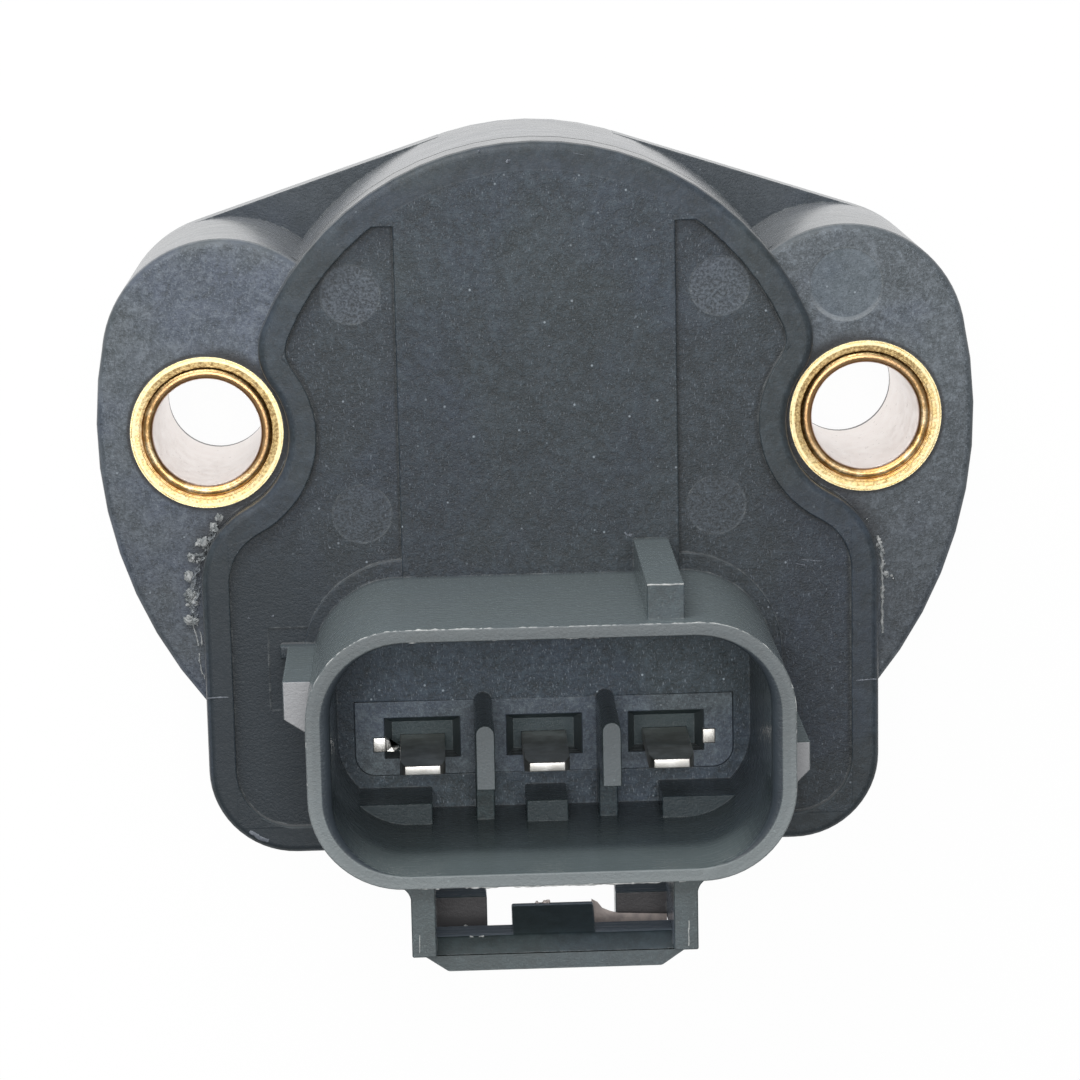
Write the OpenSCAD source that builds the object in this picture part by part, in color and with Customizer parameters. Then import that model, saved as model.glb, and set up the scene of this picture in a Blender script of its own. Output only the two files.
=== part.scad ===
// Throttle position sensor with a welded front cover, a three-blade connector and two screw ears.
// The origin is on the rotor axis, on the rear mounting face. +Z points to the connector mouth,
// +X runs from screw ear to screw ear, and +Y points away from the connector.

/* [Screw mounting] */
// Distance between the two screw sleeves
screw_spacing = 38; // [37:0.5:40]
// Bore of each brass screw sleeve
sleeve_bore = 6.2; // [5.2:0.1:6.6]
// Outside diameter of each brass screw sleeve
sleeve_od = 8.8; // [8.4:0.1:9.2]
// How far each sleeve stands proud of the ear
sleeve_proud = 0.08; // [0:0.02:0.2]

/* [Housing] */
// Height of the screw ears above the mounting face
ear_h = 13.5; // [12.8:0.1:15]
// Material between a sleeve's centre and the swept outer edge of its ear
ear_margin = 6.35; // [6:0.05:7.5]
// Radius of the rounded top corner of each ear
ear_tip_r = 7; // [6:0.1:8]
// Angle of the rounded corner's centre above the line between the sleeves
ear_tip_angle = 13; // [10:0.5:16]
// Thickness of the flange that joins the ears to the dome
web_t = 1.8; // [1.4:0.1:3]
// Height of the face that the cover is welded to
weld_h = 12.2; // [12:0.1:12.6]
// Width of the weld face, which is the wall of the rotor chamber
wall_t = 2.2; // [1.8:0.1:2.4]
// Thickness of the chamber floor
floor_t = 2.6; // [2.2:0.1:3]

/* [Cover outline] */
// Radius of the dome
dome_r = 16.95; // [16.4:0.05:17.4]
// Distance of the dome's centre below the rotor axis
dome_drop = 0.5; // [0.2:0.1:1]
// Radius of the shoulder between the dome and the waist
shoulder_r = 3.5; // [3.2:0.1:4.5]
// Gap between each sleeve and the cover's waist
waist_gap = 0.35; // [0.2:0.05:0.6]
// Width of the connector end
body_w = 39.1; // [38.4:0.1:41]
// Distance from the rotor axis to the lower edge
body_drop = 24.75; // [24.4:0.05:26]
// Radius of the connector end's four corners
body_corner_r = 5; // [4:0.1:6]

/* [Cover] */
// Height of the cover's rim above the weld face
cover_h = 3.2; // [3:0.1:4]
// Width of the raised rim
rim_w = 1.6; // [1.2:0.1:2]
// Depth of the two side fields below the rim
field_d = 0.55; // [0.3:0.05:0.8]
// Thickness of the cover plate under the side fields
plate_t = 1.9; // [1.6:0.1:2.1]
// Width of the flush centre panel
panel_w = 16; // [14:0.5:18]
// Upper end of the side fields, above the rotor axis
field_top = 11.8; // [11:0.1:12.5]

/* [Connector] */
// Outside width of the connector shroud
shroud_w = 26.7; // [26:0.1:28]
// Distance from the rotor axis to the upper side of the shroud
shroud_drop = 8.43; // [8:0.05:9]
// Outside height of the shroud
shroud_h = 14.57; // [14:0.05:15]
// Outside corner radius of the shroud
shroud_r = 5.2; // [4.5:0.1:6]
// Length of the shroud beyond the cover's rim
shroud_len = 13.4; // [12:0.1:15]
// Thickness of the shroud's side walls
shroud_side = 1.35; // [1:0.05:1.6]
// Thickness of the shroud's upper and lower walls
shroud_wall = 0.75; // [0.6:0.05:1]
// Depth of the socket from its mouth to its floor
socket_d = 13.7; // [13.4:0.1:14.2]
// Distance between neighbouring blades
blade_pitch = 7.1; // [6.8:0.1:7.2]
// Width of a blade
blade_w = 2.6; // [2.2:0.1:3]
// Thickness of a blade
blade_t = 0.8; // [0.6:0.1:0.9]
// Height of the blade tips above the socket floor
blade_len = 5; // [4:0.1:7]
// Distance of the blades below the middle of the shroud
blade_drop = 2.94; // [2.7:0.02:3]

/* [Latch] */
// Overall width of the latch loop
latch_w = 15.8; // [15:0.1:17]
// Width of each latch leg
latch_leg = 1.35; // [1.1:0.05:1.6]
// Distance from the shroud to the outer side of the cross bar
latch_drop = 5.25; // [5:0.05:6]
// Thickness of the cross bar, measured away from the shroud
latch_bar = 1.75; // [1.4:0.05:2]
// Length of the latch legs along the shroud
leg_len = 8; // [6:0.5:9]
// Length of the cross bar along the shroud
bar_len = 2.7; // [2:0.1:4]

/* [Rotor] */
// Diameter of the rotor hub
hub_d = 9; // [8.6:0.1:9.4]
// Running clearance around the hub and the pivot, on the radius
run_gap = 0.05; // [0.02:0.01:0.08]
// Diameter of the rotor flange
flange_d = 20.4; // [19.6:0.1:20.8]
// Thickness of the rotor flange
flange_t = 1.4; // [1.2:0.1:1.6]
// Diameter of the front pivot
pivot_d = 3.2; // [2.8:0.1:3.4]
// Diameter of the drive socket
drive_d = 6.4; // [6.2:0.1:6.6]
// Distance from the rotor axis to the flat of the drive socket
drive_flat = 2.4; // [2.2:0.05:2.6]
// Angle that the rotor turns through
travel = 100; // [90:5:110]

/* [Return spring] */
// Wire diameter of the return spring
wire_d = 0.8; // [0.6:0.05:0.9]
// Mean diameter of the coil
coil_d = 15.6; // [15:0.1:16]
// Number of full turns
coil_turns = 3; // [2:1:3]

/* [Sealing] */
// Diameter of the pilot recess in the mounting face
pilot_d = 18; // [16:0.5:18.5]
// Depth of the pilot recess
pilot_depth = 2; // [1.6:0.1:2.2]
// Inside diameter of the mounting seal's groove
seal_d = 20.6; // [20:0.1:21]
// Width of the mounting seal
seal_w = 1.6; // [1.2:0.1:1.8]
// Depth of the mounting seal's groove
seal_depth = 1.2; // [1:0.1:1.4]

/* [Circuit] */
// Thickness of the resistor board
board_t = 0.8; // [0.6:0.1:0.8]
// Diameter of the round part of the board
board_d = 21.4; // [20.8:0.1:21.8]
// Mean radius of the resistor track
track_r = 9; // [8.8:0.1:9.2]
// Mean radius of the collector track
collector_r = 6.8; // [6.4:0.1:7]
// Width of both tracks
track_w = 1.2; // [0.8:0.1:1.4]

/* [Hidden] */

$fn = 96;
arc_step = 6;
eps = 0.01;

// Levels above the mounting face
rim_z = weld_h + cover_h;
field_z = rim_z - field_d;
ceiling_z = field_z - plate_t;
mouth_z = rim_z + shroud_len;
socket_z = mouth_z - socket_d;
board_z = ceiling_z - board_t;
hub_floor_t = 1.6;
hub_floor_z = pilot_depth + hub_floor_t;

// Groove and rolled lip in each end of a sleeve
groove_w = 0.12;
groove_d = 0.3;
lip_share = 0.26;

// Plan places
sleeve_x = screw_spacing / 2;
relief_r = sleeve_od / 2 + waist_gap;
dome_c = [0, -dome_drop];
ear_sweep_r = sleeve_x + ear_margin;
shroud_y = -shroud_drop - shroud_h / 2;
shroud_bottom = shroud_drop + shroud_h;
blade_y = shroud_y - blade_drop;
print_t = 0.06;
seal_seat_r = hub_d / 2 + 1.9;
seal_seat_h = 1.2;
bearing_wall = 2;

// Marks of the ejector pins, on the cover's fields and on the right ear
ejector_r = 1.7;
ejector_ear_r = 2.1;
ejector_d = 0.04;
recess_d = 0.08;
ejector_places = [[10.5, 7.95], [10.2, -4.75]];
ejector_ear = [17.9, 7.7];

// Inside of the cover
spigot_h = 1.75;
spigot_gap = 0.1;
spigot_t = 0.7;
boss_h = 1.65;
boss_r = pivot_d / 2 + 1.4;
pin_at = [4.2, -9.6];
pin_r = 0.75;

// Root of the shroud, and the shallow recess beside it
pad_h = 0.3;
pad_grow = [1.1, 2];
pad_grow_r = 0.8;
recess = [2.5, 4.9];
recess_y = shroud_y - 0.5;

// Ribs and keys inside the socket
rib_w = 1.08;
rib_h = 7.8;
rib_step = 2.9;
rib_front = 3.25;
rib_back = 0.5;
key_h = 3.6;
key_reach = 1.25;
key_mid_w = 2.4;
key_side_x = 6.6;

// Keys outside the shroud. A side key is [reach, upper end, lower end, taper] from the shroud's middle.
upper_key = [2.05, 1.95];
upper_key_x = 5.34;
upper_key_gap = 1;
side_key_h = 9.45;
left_key = [1.35, 3.52, 1.32, 0.9];
right_key = [1.2, -0.74, -2.39, 1.2];
key_tab = [1.8, 0.75, 1];

// Latch loop: the legs start below the mouth, and the bar below the legs
leg_gap = 0.6;
bar_gap = 1;
leg_fillet = 0.9;
leg_over = 0.6;
bar_taper = [1.3, 0.9];
bar_lead = [0.8, 0.8];
ramp_w = 4.6;
ramp = [0.85, 3.3, 3.9];
ledge = [2.9, 2];
ledge_over = 1.1;
ledge_gap = 6.2;

// Terminal block in the socket floor
block_w = 2 * blade_pitch + 7.8;
block_h = 4.4;
block_y = blade_y + 0.6;
block_r = 1.2;
pocket_w = blade_w + 1.85;
pocket_d = 1.6;
pocket_top = 1.85;
pocket_low = 0.6;
stub = [0.73, 0.86];
stub_x = blade_pitch + 2.5;
stub_dy = 0.24;
stub_proud = 0.03;
pocket_lean = [0.45, 0.65];

// Lead of a blade's tip: its length, and how far it narrows the width and the thickness
tip_lead = 0.7;
tip_in = [0.28, 0.14];

// Board, printed paths and clips
board_end = blade_y + 5.65;
board_tongue = 2 * blade_pitch + 3.2;
tail_end = board_end - 0.6;
clip_w = 1.6;
clip_t = 0.25;
print_lead = 0.4;
pad_l = 1.4;
pad_in = 0.1;

// Rotor chamber and its two stops
lug_angle = 90 - travel / 2;
lug_half = 8;
lug_r = 12.4;
stop_gap = 1.5;
stop_span = 10;
stop_r = flange_d / 2 + 0.5;

// Spring fingers of the wiper, and the gap between their tips and the tracks
finger_w = 0.9;
finger_gap = 0.05;
finger_root = [-1.8, -1.3];
finger_bend = 0.15;
finger_tip = [0.6, 1, 1.45];

// Rotor details
hub_z = pilot_depth + 0.2;
pivot_top = ceiling_z + 0.1;
stud_at = (collector_r + track_r) / 2;
stud_side = 1.7;
stud_r = 0.5;
stud_h = 0.5;
leg_hole_d = wire_d + 0.5;

// Leaf in the drive socket: its thickness, the gap at both of its ends, and the angles it spans
leaf_t = 0.3;
leaf_gap = 0.6;
leaf_span = [140, 220];
wiper_angle = 90 - travel / 2;
wiper_half = 14;
wiper_t = 0.2;
wiper_in = collector_r - 1;
wiper_out = flange_d / 2 - 0.2;
track_from = wiper_angle - 6;
track_to = wiper_angle + travel + 20;

// Return spring
coil_r = coil_d / 2;
coil_pitch = wire_d + 0.25;
coil_z = hub_floor_z + wire_d / 2 + 0.05;
coil_rise = coil_pitch * coil_turns;
coil_start = 205;
leg_r = 11.2;
leg_turn = 5;
leg_angle = coil_start + leg_turn;
spring_gap = 0.8;
post_plan = [2.6, 3];
post_over = 0.6;
slot_gap = 0.1;

// Rotor levels, above the coil
flange_z = coil_z + coil_rise + wire_d / 2 + spring_gap;
flange_top = flange_z + flange_t;
bearing_top = flange_z - spring_gap;
drive_top = flange_z - flange_t;

// Vector helpers
function heading(v) = atan2(v[1], v[0]);
function polar(r, a) = [r * cos(a), r * sin(a)];

// Points of an arc about c, from angle a to angle b
function arc(c, r, a, b) =
  let (n = max(2, ceil(abs(b - a) / arc_step)))
  [for (i = [0:n]) c + polar(r, a + (b - a) * i / n)];

// The point at distance p from a and q from b, to the left of the way from a to b
function meet(a, p, b, q) =
  let (v = b - a, d = norm(v), x = (p * p - q * q + d * d) / (2 * d), y = sqrt(p * p - x * x))
  a + x * v / d + y * [-v[1], v[0]] / d;

function mirrored(points) =
  [for (i = [len(points) - 1:-1:0]) [-points[i][0], points[i][1]]];

// Outline of the cover, drawn inward by inset. Every corner is a tangent arc.
function cover_points(inset) =
  let (
    relief = [-sleeve_x, 0],
    side = body_w / 2,
    top = meet(relief, relief_r + shoulder_r, dome_c, dome_r - shoulder_r),
    low_x = -side + body_corner_r,
    reach = relief_r + body_corner_r,
    low = [low_x, -sqrt(reach * reach - pow(low_x + sleeve_x, 2))],
    corner = [low_x, -body_drop + body_corner_r],
    small = max(0.2, shoulder_r - inset),
    left = concat(
      arc(dome_c, dome_r - inset, 90, heading(top - dome_c)),
      arc(top, small, heading(top - dome_c), 360 + heading(relief - top)),
      arc(relief, relief_r + inset, heading(top - relief), heading(low - relief)),
      arc(low, body_corner_r - inset, heading(relief - low), 180),
      arc(corner, body_corner_r - inset, 180, 270)
    )
  )
  concat(left, mirrored(left));

module cover_shape(inset) {
  polygon(cover_points(inset));
}

// A rectangle with round corners, centred on the origin
module round_rect(w, h, r) {
  square([w - 2 * r, h], center = true);
  square([w, h - 2 * r], center = true);
  for (x = [-1, 1], y = [-1, 1])
    translate([x * (w / 2 - r), y * (h / 2 - r)]) circle(r);
}

// A ring sector between two radii and two angles
module sector(r1, r2, a, b) {
  polygon(concat(arc([0, 0], r2, a, b), arc([0, 0], r1, b, a)));
}

module both_sides() {
  children();
  mirror([1, 0, 0]) children();
}

// Plan of one screw ear, on the right
module ear_shape() {
  c = polar(ear_sweep_r - ear_tip_r, ear_tip_angle);
  low_angle = -acos(body_w / 2 / ear_sweep_r);
  translate(c) circle(ear_tip_r);
  polygon(concat(
    [[sleeve_x / 2, 0], [body_w / 2 - body_corner_r, ear_sweep_r * sin(low_angle)]],
    arc([0, 0], ear_sweep_r, low_angle, ear_tip_angle),
    [c, [sleeve_x / 2, ear_tip_r]]
  ));
}

// Plan of the tangent flange between the dome and an ear, on the right
module web_shape() {
  c = polar(ear_sweep_r - ear_tip_r, ear_tip_angle);
  v = c - dome_c;
  a = heading(v) + acos((dome_r - ear_tip_r) / norm(v));
  polygon([dome_c, c, c + polar(ear_tip_r, a), dome_c + polar(dome_r, a)]);
}

// Housing: cup, ears, bearing and stops
module housing() {
  color([0.26, 0.29, 0.31]) {
    difference() {
      union() {
        linear_extrude(weld_h) cover_shape(0);
        linear_extrude(web_t) both_sides() web_shape();
        linear_extrude(ear_h) both_sides() ear_shape();
      }
      translate([0, 0, weld_h]) linear_extrude(ear_h) cover_shape(0);
      translate([ejector_ear[0], ejector_ear[1], ear_h - ejector_d]) cylinder(h = 1, r = ejector_ear_r);
      chamber();
      for (x = [-sleeve_x, sleeve_x])
        translate([x, 0, -1]) cylinder(h = ear_h + 2, d = sleeve_od);
      translate([0, 0, -1]) cylinder(h = pilot_depth + 1, d = pilot_d);
      translate([0, 0, -1]) cylinder(h = bearing_top + 2, d = hub_d + 2 * run_gap);
      translate([0, 0, -1]) cylinder(h = pilot_depth + seal_seat_h + 1, r = seal_seat_r);
      seal_groove();
    }
    stops();
    spring_post();
  }
}

// The space inside the cup, without the floor over the pilot recess and the bearing
module chamber() {
  difference() {
    translate([0, 0, floor_t]) linear_extrude(weld_h) cover_shape(wall_t);
    cylinder(h = hub_floor_z, d = pilot_d + 2 * hub_floor_t);
    cylinder(h = bearing_top, r = hub_d / 2 + run_gap + bearing_wall);
  }
}

module seal_groove() {
  translate([0, 0, -1]) linear_extrude(seal_depth + 1) difference() {
    circle(d = seal_d + 2 * seal_w);
    circle(d = seal_d);
  }
}

// Two blocks on the chamber wall that end the rotor's travel
module stops() {
  at_rest = lug_angle - lug_half - stop_gap;
  at_end = lug_angle + travel + lug_half + stop_gap;
  h = flange_top - floor_t;
  translate([0, 0, floor_t - eps]) linear_extrude(h) intersection() {
    cover_shape(wall_t / 2);
    union() {
      sector(stop_r, dome_r, at_rest - stop_span, at_rest);
      sector(stop_r, dome_r, at_end, at_end + stop_span);
    }
  }
}

// Slotted post on the chamber floor that holds the lower leg of the spring
module spring_post() {
  post = concat(post_plan, coil_z + wire_d - floor_t + post_over);
  slot = wire_d + slot_gap;
  rotate(coil_start) translate([leg_r - post[0] / 2, -post[1] / 2, floor_t - eps]) difference() {
    cube(post);
    translate([-1, (post[1] - slot) / 2, coil_z - slot / 2 - floor_t]) cube([post[0] + 2, slot, post[2]]);
  }
}

// Cover plate with its rim and side fields, the spigot inside it, and the connector
module front_cover() {
  color([0.27, 0.30, 0.32]) {
    difference() {
      union() {
        cover_plate();
        root_pad();
        translate([0, shroud_y, field_z - eps]) linear_extrude(mouth_z - field_z + eps)
          round_rect(shroud_w, shroud_h, shroud_r);
        pivot_boss();
        outer_keys();
      }
      translate([0, shroud_y, socket_z]) linear_extrude(mouth_z) socket_shape();
      translate([0, 0, ceiling_z - 1]) linear_extrude(socket_z - ceiling_z + 2) block_shape();
      translate([0, 0, ceiling_z - 2]) cylinder(h = 2.4, d = pivot_d + 2 * run_gap);
    }
    socket_ribs();
    socket_keys();
    board_pins();
    latch_loop();
  }
}

module cover_plate() {
  difference() {
    translate([0, 0, weld_h]) linear_extrude(cover_h) cover_shape(0);
    translate([0, 0, weld_h - 1]) linear_extrude(ceiling_z - weld_h + 1) cover_shape(wall_t);
    translate([0, 0, field_z]) linear_extrude(cover_h) field_shape();
    for (x = [-1, 1], p = ejector_places)
      translate([x * p[0], p[1], field_z - ejector_d]) cylinder(h = cover_h, r = ejector_r);
    translate([-shroud_w / 2 - recess[0], recess_y, field_z - recess_d])
      cube([recess[0], recess[1], cover_h]);
  }
  translate([0, 0, ceiling_z - spigot_h]) linear_extrude(spigot_h) difference() {
    cover_shape(wall_t + spigot_gap);
    cover_shape(wall_t + spigot_gap + spigot_t);
  }
}

// The two sunken fields beside the centre panel
module field_shape() {
  difference() {
    cover_shape(rim_w);
    translate([-panel_w / 2, -body_drop]) square([panel_w, body_drop + dome_r]);
    translate([-body_w / 2, field_top]) square([body_w, dome_r]);
  }
}

// Low pad round the root of the shroud
module root_pad() {
  translate([0, shroud_y, field_z - eps]) linear_extrude(pad_h)
    round_rect(shroud_w + pad_grow[0], shroud_h + pad_grow[1], shroud_r + pad_grow_r);
}

module socket_shape() {
  round_rect(shroud_w - 2 * shroud_side, shroud_h - 2 * shroud_wall, shroud_r - shroud_side + 0.3);
}

module block_shape() {
  translate([0, block_y]) {
    round_rect(block_w, block_h, block_r);
    translate([-block_w / 2, 0]) square([block_w, block_h / 2]);
  }
}

// Bearing for the rotor's front pivot
module pivot_boss() {
  translate([0, 0, ceiling_z - boss_h]) cylinder(h = boss_h + eps, r = boss_r);
}

module board_pins() {
  for (x = [-1, 1])
    translate([x * pin_at[0], pin_at[1], board_z - 0.3]) cylinder(h = board_t + 0.3 + eps, r = pin_r);
}

// Two ribs between the blades, each with a low step behind it
module socket_ribs() {
  front = blade_y + rib_front;
  back = blade_y - rib_back;
  for (x = [-blade_pitch / 2, blade_pitch / 2]) {
    translate([x - rib_w / 2, back, socket_z - eps]) cube([rib_w, front - back - rib_w / 2, rib_h]);
    translate([x, front - rib_w / 2, socket_z - eps]) cylinder(h = rib_h, d = rib_w);
    translate([x - rib_w / 2, -shroud_bottom + shroud_wall / 2, socket_z - eps])
      cube([rib_w, back + shroud_bottom - shroud_wall / 2 + eps, rib_step]);
  }
}

// Polarising keys at the foot of the socket's lower wall
module socket_keys() {
  top = shroud_wall + key_reach;
  translate([0, 0, socket_z - eps]) linear_extrude(key_h) intersection() {
    translate([0, shroud_y]) round_rect(shroud_w - shroud_side, shroud_h - shroud_wall, shroud_r);
    union() {
      translate([-key_mid_w / 2, -shroud_bottom]) square([key_mid_w, top]);
      both_sides() translate([key_side_x, -shroud_bottom]) square([shroud_w, top]);
    }
  }
}

// Keys on the outside of the shroud: one above and one on each side
module outer_keys() {
  translate([upper_key_x, -shroud_drop - eps, field_z])
    cube([upper_key[0], upper_key[1], mouth_z - upper_key_gap - field_z]);
  side_key(right_key);
  mirror([1, 0, 0]) {
    side_key(left_key);
    translate([shroud_w / 2 - shroud_side, shroud_y + left_key[1] - key_tab[1], field_z - eps])
      cube([shroud_side + key_tab[0], key_tab[1], key_tab[2]]);
  }
}

// Key on the right side of the shroud, tapered below
module side_key(key) {
  side = shroud_w / 2;
  root = side - shroud_side / 2;
  taper = key[2] - key[3];
  translate([0, shroud_y, field_z - eps]) linear_extrude(side_key_h)
    polygon([[root, taper], [side, taper], [side + key[0], key[2]], [side + key[0], key[1]], [root, key[1]]]);
}

// Loop below the shroud that the plug's latch snaps into
module latch_loop() {
  half = latch_w / 2;
  foot = -shroud_bottom - latch_drop;
  bar_top = foot + latch_bar;
  leg_foot = bar_top - leg_over;
  leg_z = mouth_z - leg_gap;
  leg_low = leg_z - leg_len;
  both_sides() {
    translate([half - latch_leg, leg_foot, leg_low])
      cube([latch_leg, shroud_wall / 2 - shroud_bottom - leg_foot, leg_len]);
    translate([half - eps, -shroud_bottom - leg_fillet, leg_low]) linear_extrude(leg_len) difference() {
      square([leg_fillet, leg_fillet + shroud_wall / 2]);
      translate([leg_fillet, 0]) circle(r = leg_fillet);
    }
    translate([half - latch_leg - ledge[0], bar_top - ledge_over, leg_low])
      cube([ledge[0] + eps, ledge[1], leg_len - ledge_gap]);
  }
  latch_bar(half - latch_leg / 2, foot, bar_top, leg_z - bar_gap);
}

// Cross bar with tapered ends and a sloping lead-in, and the ramp that holds the plug
module latch_bar(half, foot, top, z) {
  intersection() {
    translate([0, 0, z - bar_len]) linear_extrude(bar_len)
      polygon([[-half, top], [half, top], [half, foot + bar_taper[1]], [half - bar_taper[0], foot],
               [bar_taper[0] - half, foot], [-half, foot + bar_taper[1]]]);
    rotate([90, 0, 90]) linear_extrude(latch_w, center = true)
      polygon([[foot, z], [top - bar_lead[0], z], [top, z - bar_lead[1]],
               [top, z - bar_len], [foot, z - bar_len]]);
  }
  rotate([90, 0, 90]) linear_extrude(ramp_w, center = true)
    polygon([[top - bar_lead[0], z - bar_lead[1]], [top, z - bar_lead[1]], [top + ramp[0], z - ramp[1]],
             [top + ramp[0], z - ramp[2]], [top - bar_lead[0], z - ramp[2]]]);
}

// Moulded block that carries the blades, with a tapered pocket round each one
module terminal_block() {
  color([0.24, 0.28, 0.30]) difference() {
    translate([0, 0, ceiling_z]) linear_extrude(socket_z - ceiling_z) block_shape();
    for (i = [-1:1]) translate([i * blade_pitch, blade_y, 0]) {
      pocket();
      translate([-blade_w / 2, -blade_t / 2, ceiling_z - 1]) cube([blade_w, blade_t, socket_z]);
    }
    for (x = [-stub_x, stub_x])
      translate([x - stub[0] / 2, blade_y + stub_dy - stub[1] / 2, ceiling_z - 1])
        cube([stub[0], stub[1], socket_z]);
  }
}

module pocket() {
  hull() {
    translate([-pocket_w / 2 + pocket_lean[0], -pocket_low, socket_z - pocket_d])
      cube([pocket_w - 2 * pocket_lean[0], pocket_low + pocket_top - pocket_lean[1], eps]);
    translate([-pocket_w / 2, -pocket_low, socket_z]) cube([pocket_w, pocket_low + pocket_top, eps]);
  }
}

// A blade with a tapered tip, bent under the cover plate. Side is -1 or 1 where a tie-bar stub shows.
module terminal(x, side) {
  low = ceiling_z - blade_t;
  tip = socket_z + blade_len;
  w = blade_w / 2;
  t = blade_t / 2;
  color([0.78, 0.77, 0.74]) translate([x, blade_y, 0]) {
    intersection() {
      rotate([90, 0, 0]) linear_extrude(blade_t, center = true)
        polygon([[-w, low], [w, low], [w, tip - tip_lead],
                 [w - tip_in[0], tip], [tip_in[0] - w, tip], [-w, tip - tip_lead]]);
      rotate([90, 0, 90]) linear_extrude(blade_w, center = true)
        polygon([[-t, low], [t, low], [t, tip - tip_lead],
                 [t - tip_in[1], tip], [tip_in[1] - t, tip], [-t, tip - tip_lead]]);
    }
    translate([-w, -t, low]) cube([blade_w, tail_end - blade_y + t, blade_t]);
    if (side != 0) {
      reach = side * (stub_x - blade_pitch);
      translate([min(0, reach), stub_dy - stub[1] / 2, low]) cube([abs(reach), stub[1], blade_t]);
      translate([reach - stub[0] / 2, stub_dy - stub[1] / 2, low])
        cube([stub[0], stub[1], socket_z + stub_proud - low]);
    }
  }
}

module terminal_left() {
  terminal(-blade_pitch, -1);
}

module terminal_middle() {
  terminal(0, 0);
}

module terminal_right() {
  terminal(blade_pitch, 1);
}

// Bent spring strip from a terminal's tail to its pad on the board
module contact_clip(x) {
  tail_z = ceiling_z - blade_t;
  pad_z = board_z - print_t;
  top = [[tail_end - 1.4, tail_z], [tail_end - 0.1, tail_z], [tail_end + 0.25, tail_z - 0.45],
         [board_end - 0.25, pad_z - 0.45], [board_end + 0.2, pad_z], [board_end + 1.3, pad_z]];
  under = [for (i = [len(top) - 1:-1:0]) top[i] - [0, clip_t]];
  color([0.72, 0.55, 0.30]) translate([x, 0, 0])
    rotate([90, 0, 90]) linear_extrude(clip_w, center = true) polygon(concat(top, under));
}

module contact_clip_left() {
  contact_clip(-blade_pitch);
}

module contact_clip_middle() {
  contact_clip(0);
}

module contact_clip_right() {
  contact_clip(blade_pitch);
}

module resistor_board() {
  color([0.86, 0.84, 0.76]) translate([0, 0, board_z]) linear_extrude(board_t) difference() {
    union() {
      circle(d = board_d);
      translate([-board_tongue / 2, board_end]) square([board_tongue, -board_end]);
    }
    circle(r = boss_r + 0.2);
    for (x = [-1, 1]) translate([x * pin_at[0], pin_at[1]]) circle(r = pin_r);
  }
}

// Carbon arc that the wiper's outer finger runs on
module resistor_track() {
  color([0.10, 0.10, 0.11]) translate([0, 0, board_z - print_t]) linear_extrude(print_t)
    sector(track_r - track_w / 2, track_r + track_w / 2, track_from, track_to);
}

// Silver collector arc, the leads at both ends of the resistor track, and the three pads
module conductor_pattern() {
  lead = print_lead;
  turn = 40;
  color([0.75, 0.75, 0.73]) translate([0, 0, board_z - print_t]) linear_extrude(print_t) {
    sector(track_r - lead, track_r + lead, -turn, track_from);
    sector(track_r - lead, track_r + lead, track_to, 180 + turn);
    sector(collector_r - track_w / 2, collector_r + track_w / 2, track_from, track_to);
    sector(collector_r - lead, collector_r + lead, track_to - 1, 270);
    drop(track_r * cos(turn), -track_r * sin(turn), lead);
    drop(-track_r * cos(turn), -track_r * sin(turn), lead);
    drop(0, -collector_r, lead);
    for (i = [-1:1]) translate([i * blade_pitch - clip_w / 2, board_end + pad_in]) square([clip_w, pad_l]);
  }
}

// Straight lead from (x, y) down to the row of pads
module drop(x, y, half) {
  from = board_end + pad_in + pad_l / 2;
  translate([x - half, from]) square([2 * half, y - from + half]);
}

// Brass screw sleeve with a groove and a rolled lip on both ends
module sleeve(x) {
  r1 = sleeve_bore / 2;
  r2 = sleeve_od / 2;
  lip = (r2 - r1) * lip_share;
  face = r1 + 2 * lip + groove_w;
  top = ear_h + sleeve_proud;
  color([0.80, 0.62, 0.28]) translate([x, 0, 0]) rotate_extrude() {
    translate([r1, groove_d]) square([r2 - r1, top - 2 * groove_d]);
    translate([face, 0]) square([r2 - face, top]);
    for (z = [lip, top - lip]) translate([r1 + lip, z]) circle(r = lip, $fn = 32);
  }
}

module sleeve_left() {
  sleeve(-sleeve_x);
}

module sleeve_right() {
  sleeve(sleeve_x);
}

// Rotor: hub with the drive socket, flange with a stop lug, and the front pivot
module rotor() {
  color([0.88, 0.86, 0.80]) difference() {
    union() {
      translate([0, 0, hub_z]) cylinder(h = flange_top - hub_z, d = hub_d);
      translate([0, 0, flange_z]) cylinder(h = flange_t, d = flange_d);
      translate([0, 0, flange_z]) cylinder(h = pivot_top - flange_z, d = pivot_d);
      translate([0, 0, flange_z]) linear_extrude(flange_t)
        sector(hub_d / 2, lug_r, lug_angle - lug_half, lug_angle + lug_half);
      for (y = [-stud_side, stud_side]) rotate(wiper_angle) translate([stud_at, y, flange_z])
        cylinder(h = flange_t + stud_h, r = stud_r);
    }
    translate([0, 0, hub_z - 1]) linear_extrude(drive_top - hub_z + 1) drive_shape();
    rotate(leg_angle) translate([coil_r, 0, flange_z - 1]) cylinder(h = flange_t + 2, d = leg_hole_d);
  }
}

module drive_shape() {
  intersection() {
    circle(d = drive_d);
    translate([-drive_d, -drive_d]) square([drive_d + drive_flat, 2 * drive_d]);
  }
}

// Leaf in the drive socket that takes up the play of the throttle shaft
module drive_clip() {
  color([0.62, 0.63, 0.64]) translate([0, 0, hub_z + leaf_gap])
    linear_extrude(drive_top - hub_z - 2 * leaf_gap)
      sector(drive_d / 2 - leaf_t, drive_d / 2, leaf_span[0], leaf_span[1]);
}

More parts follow.
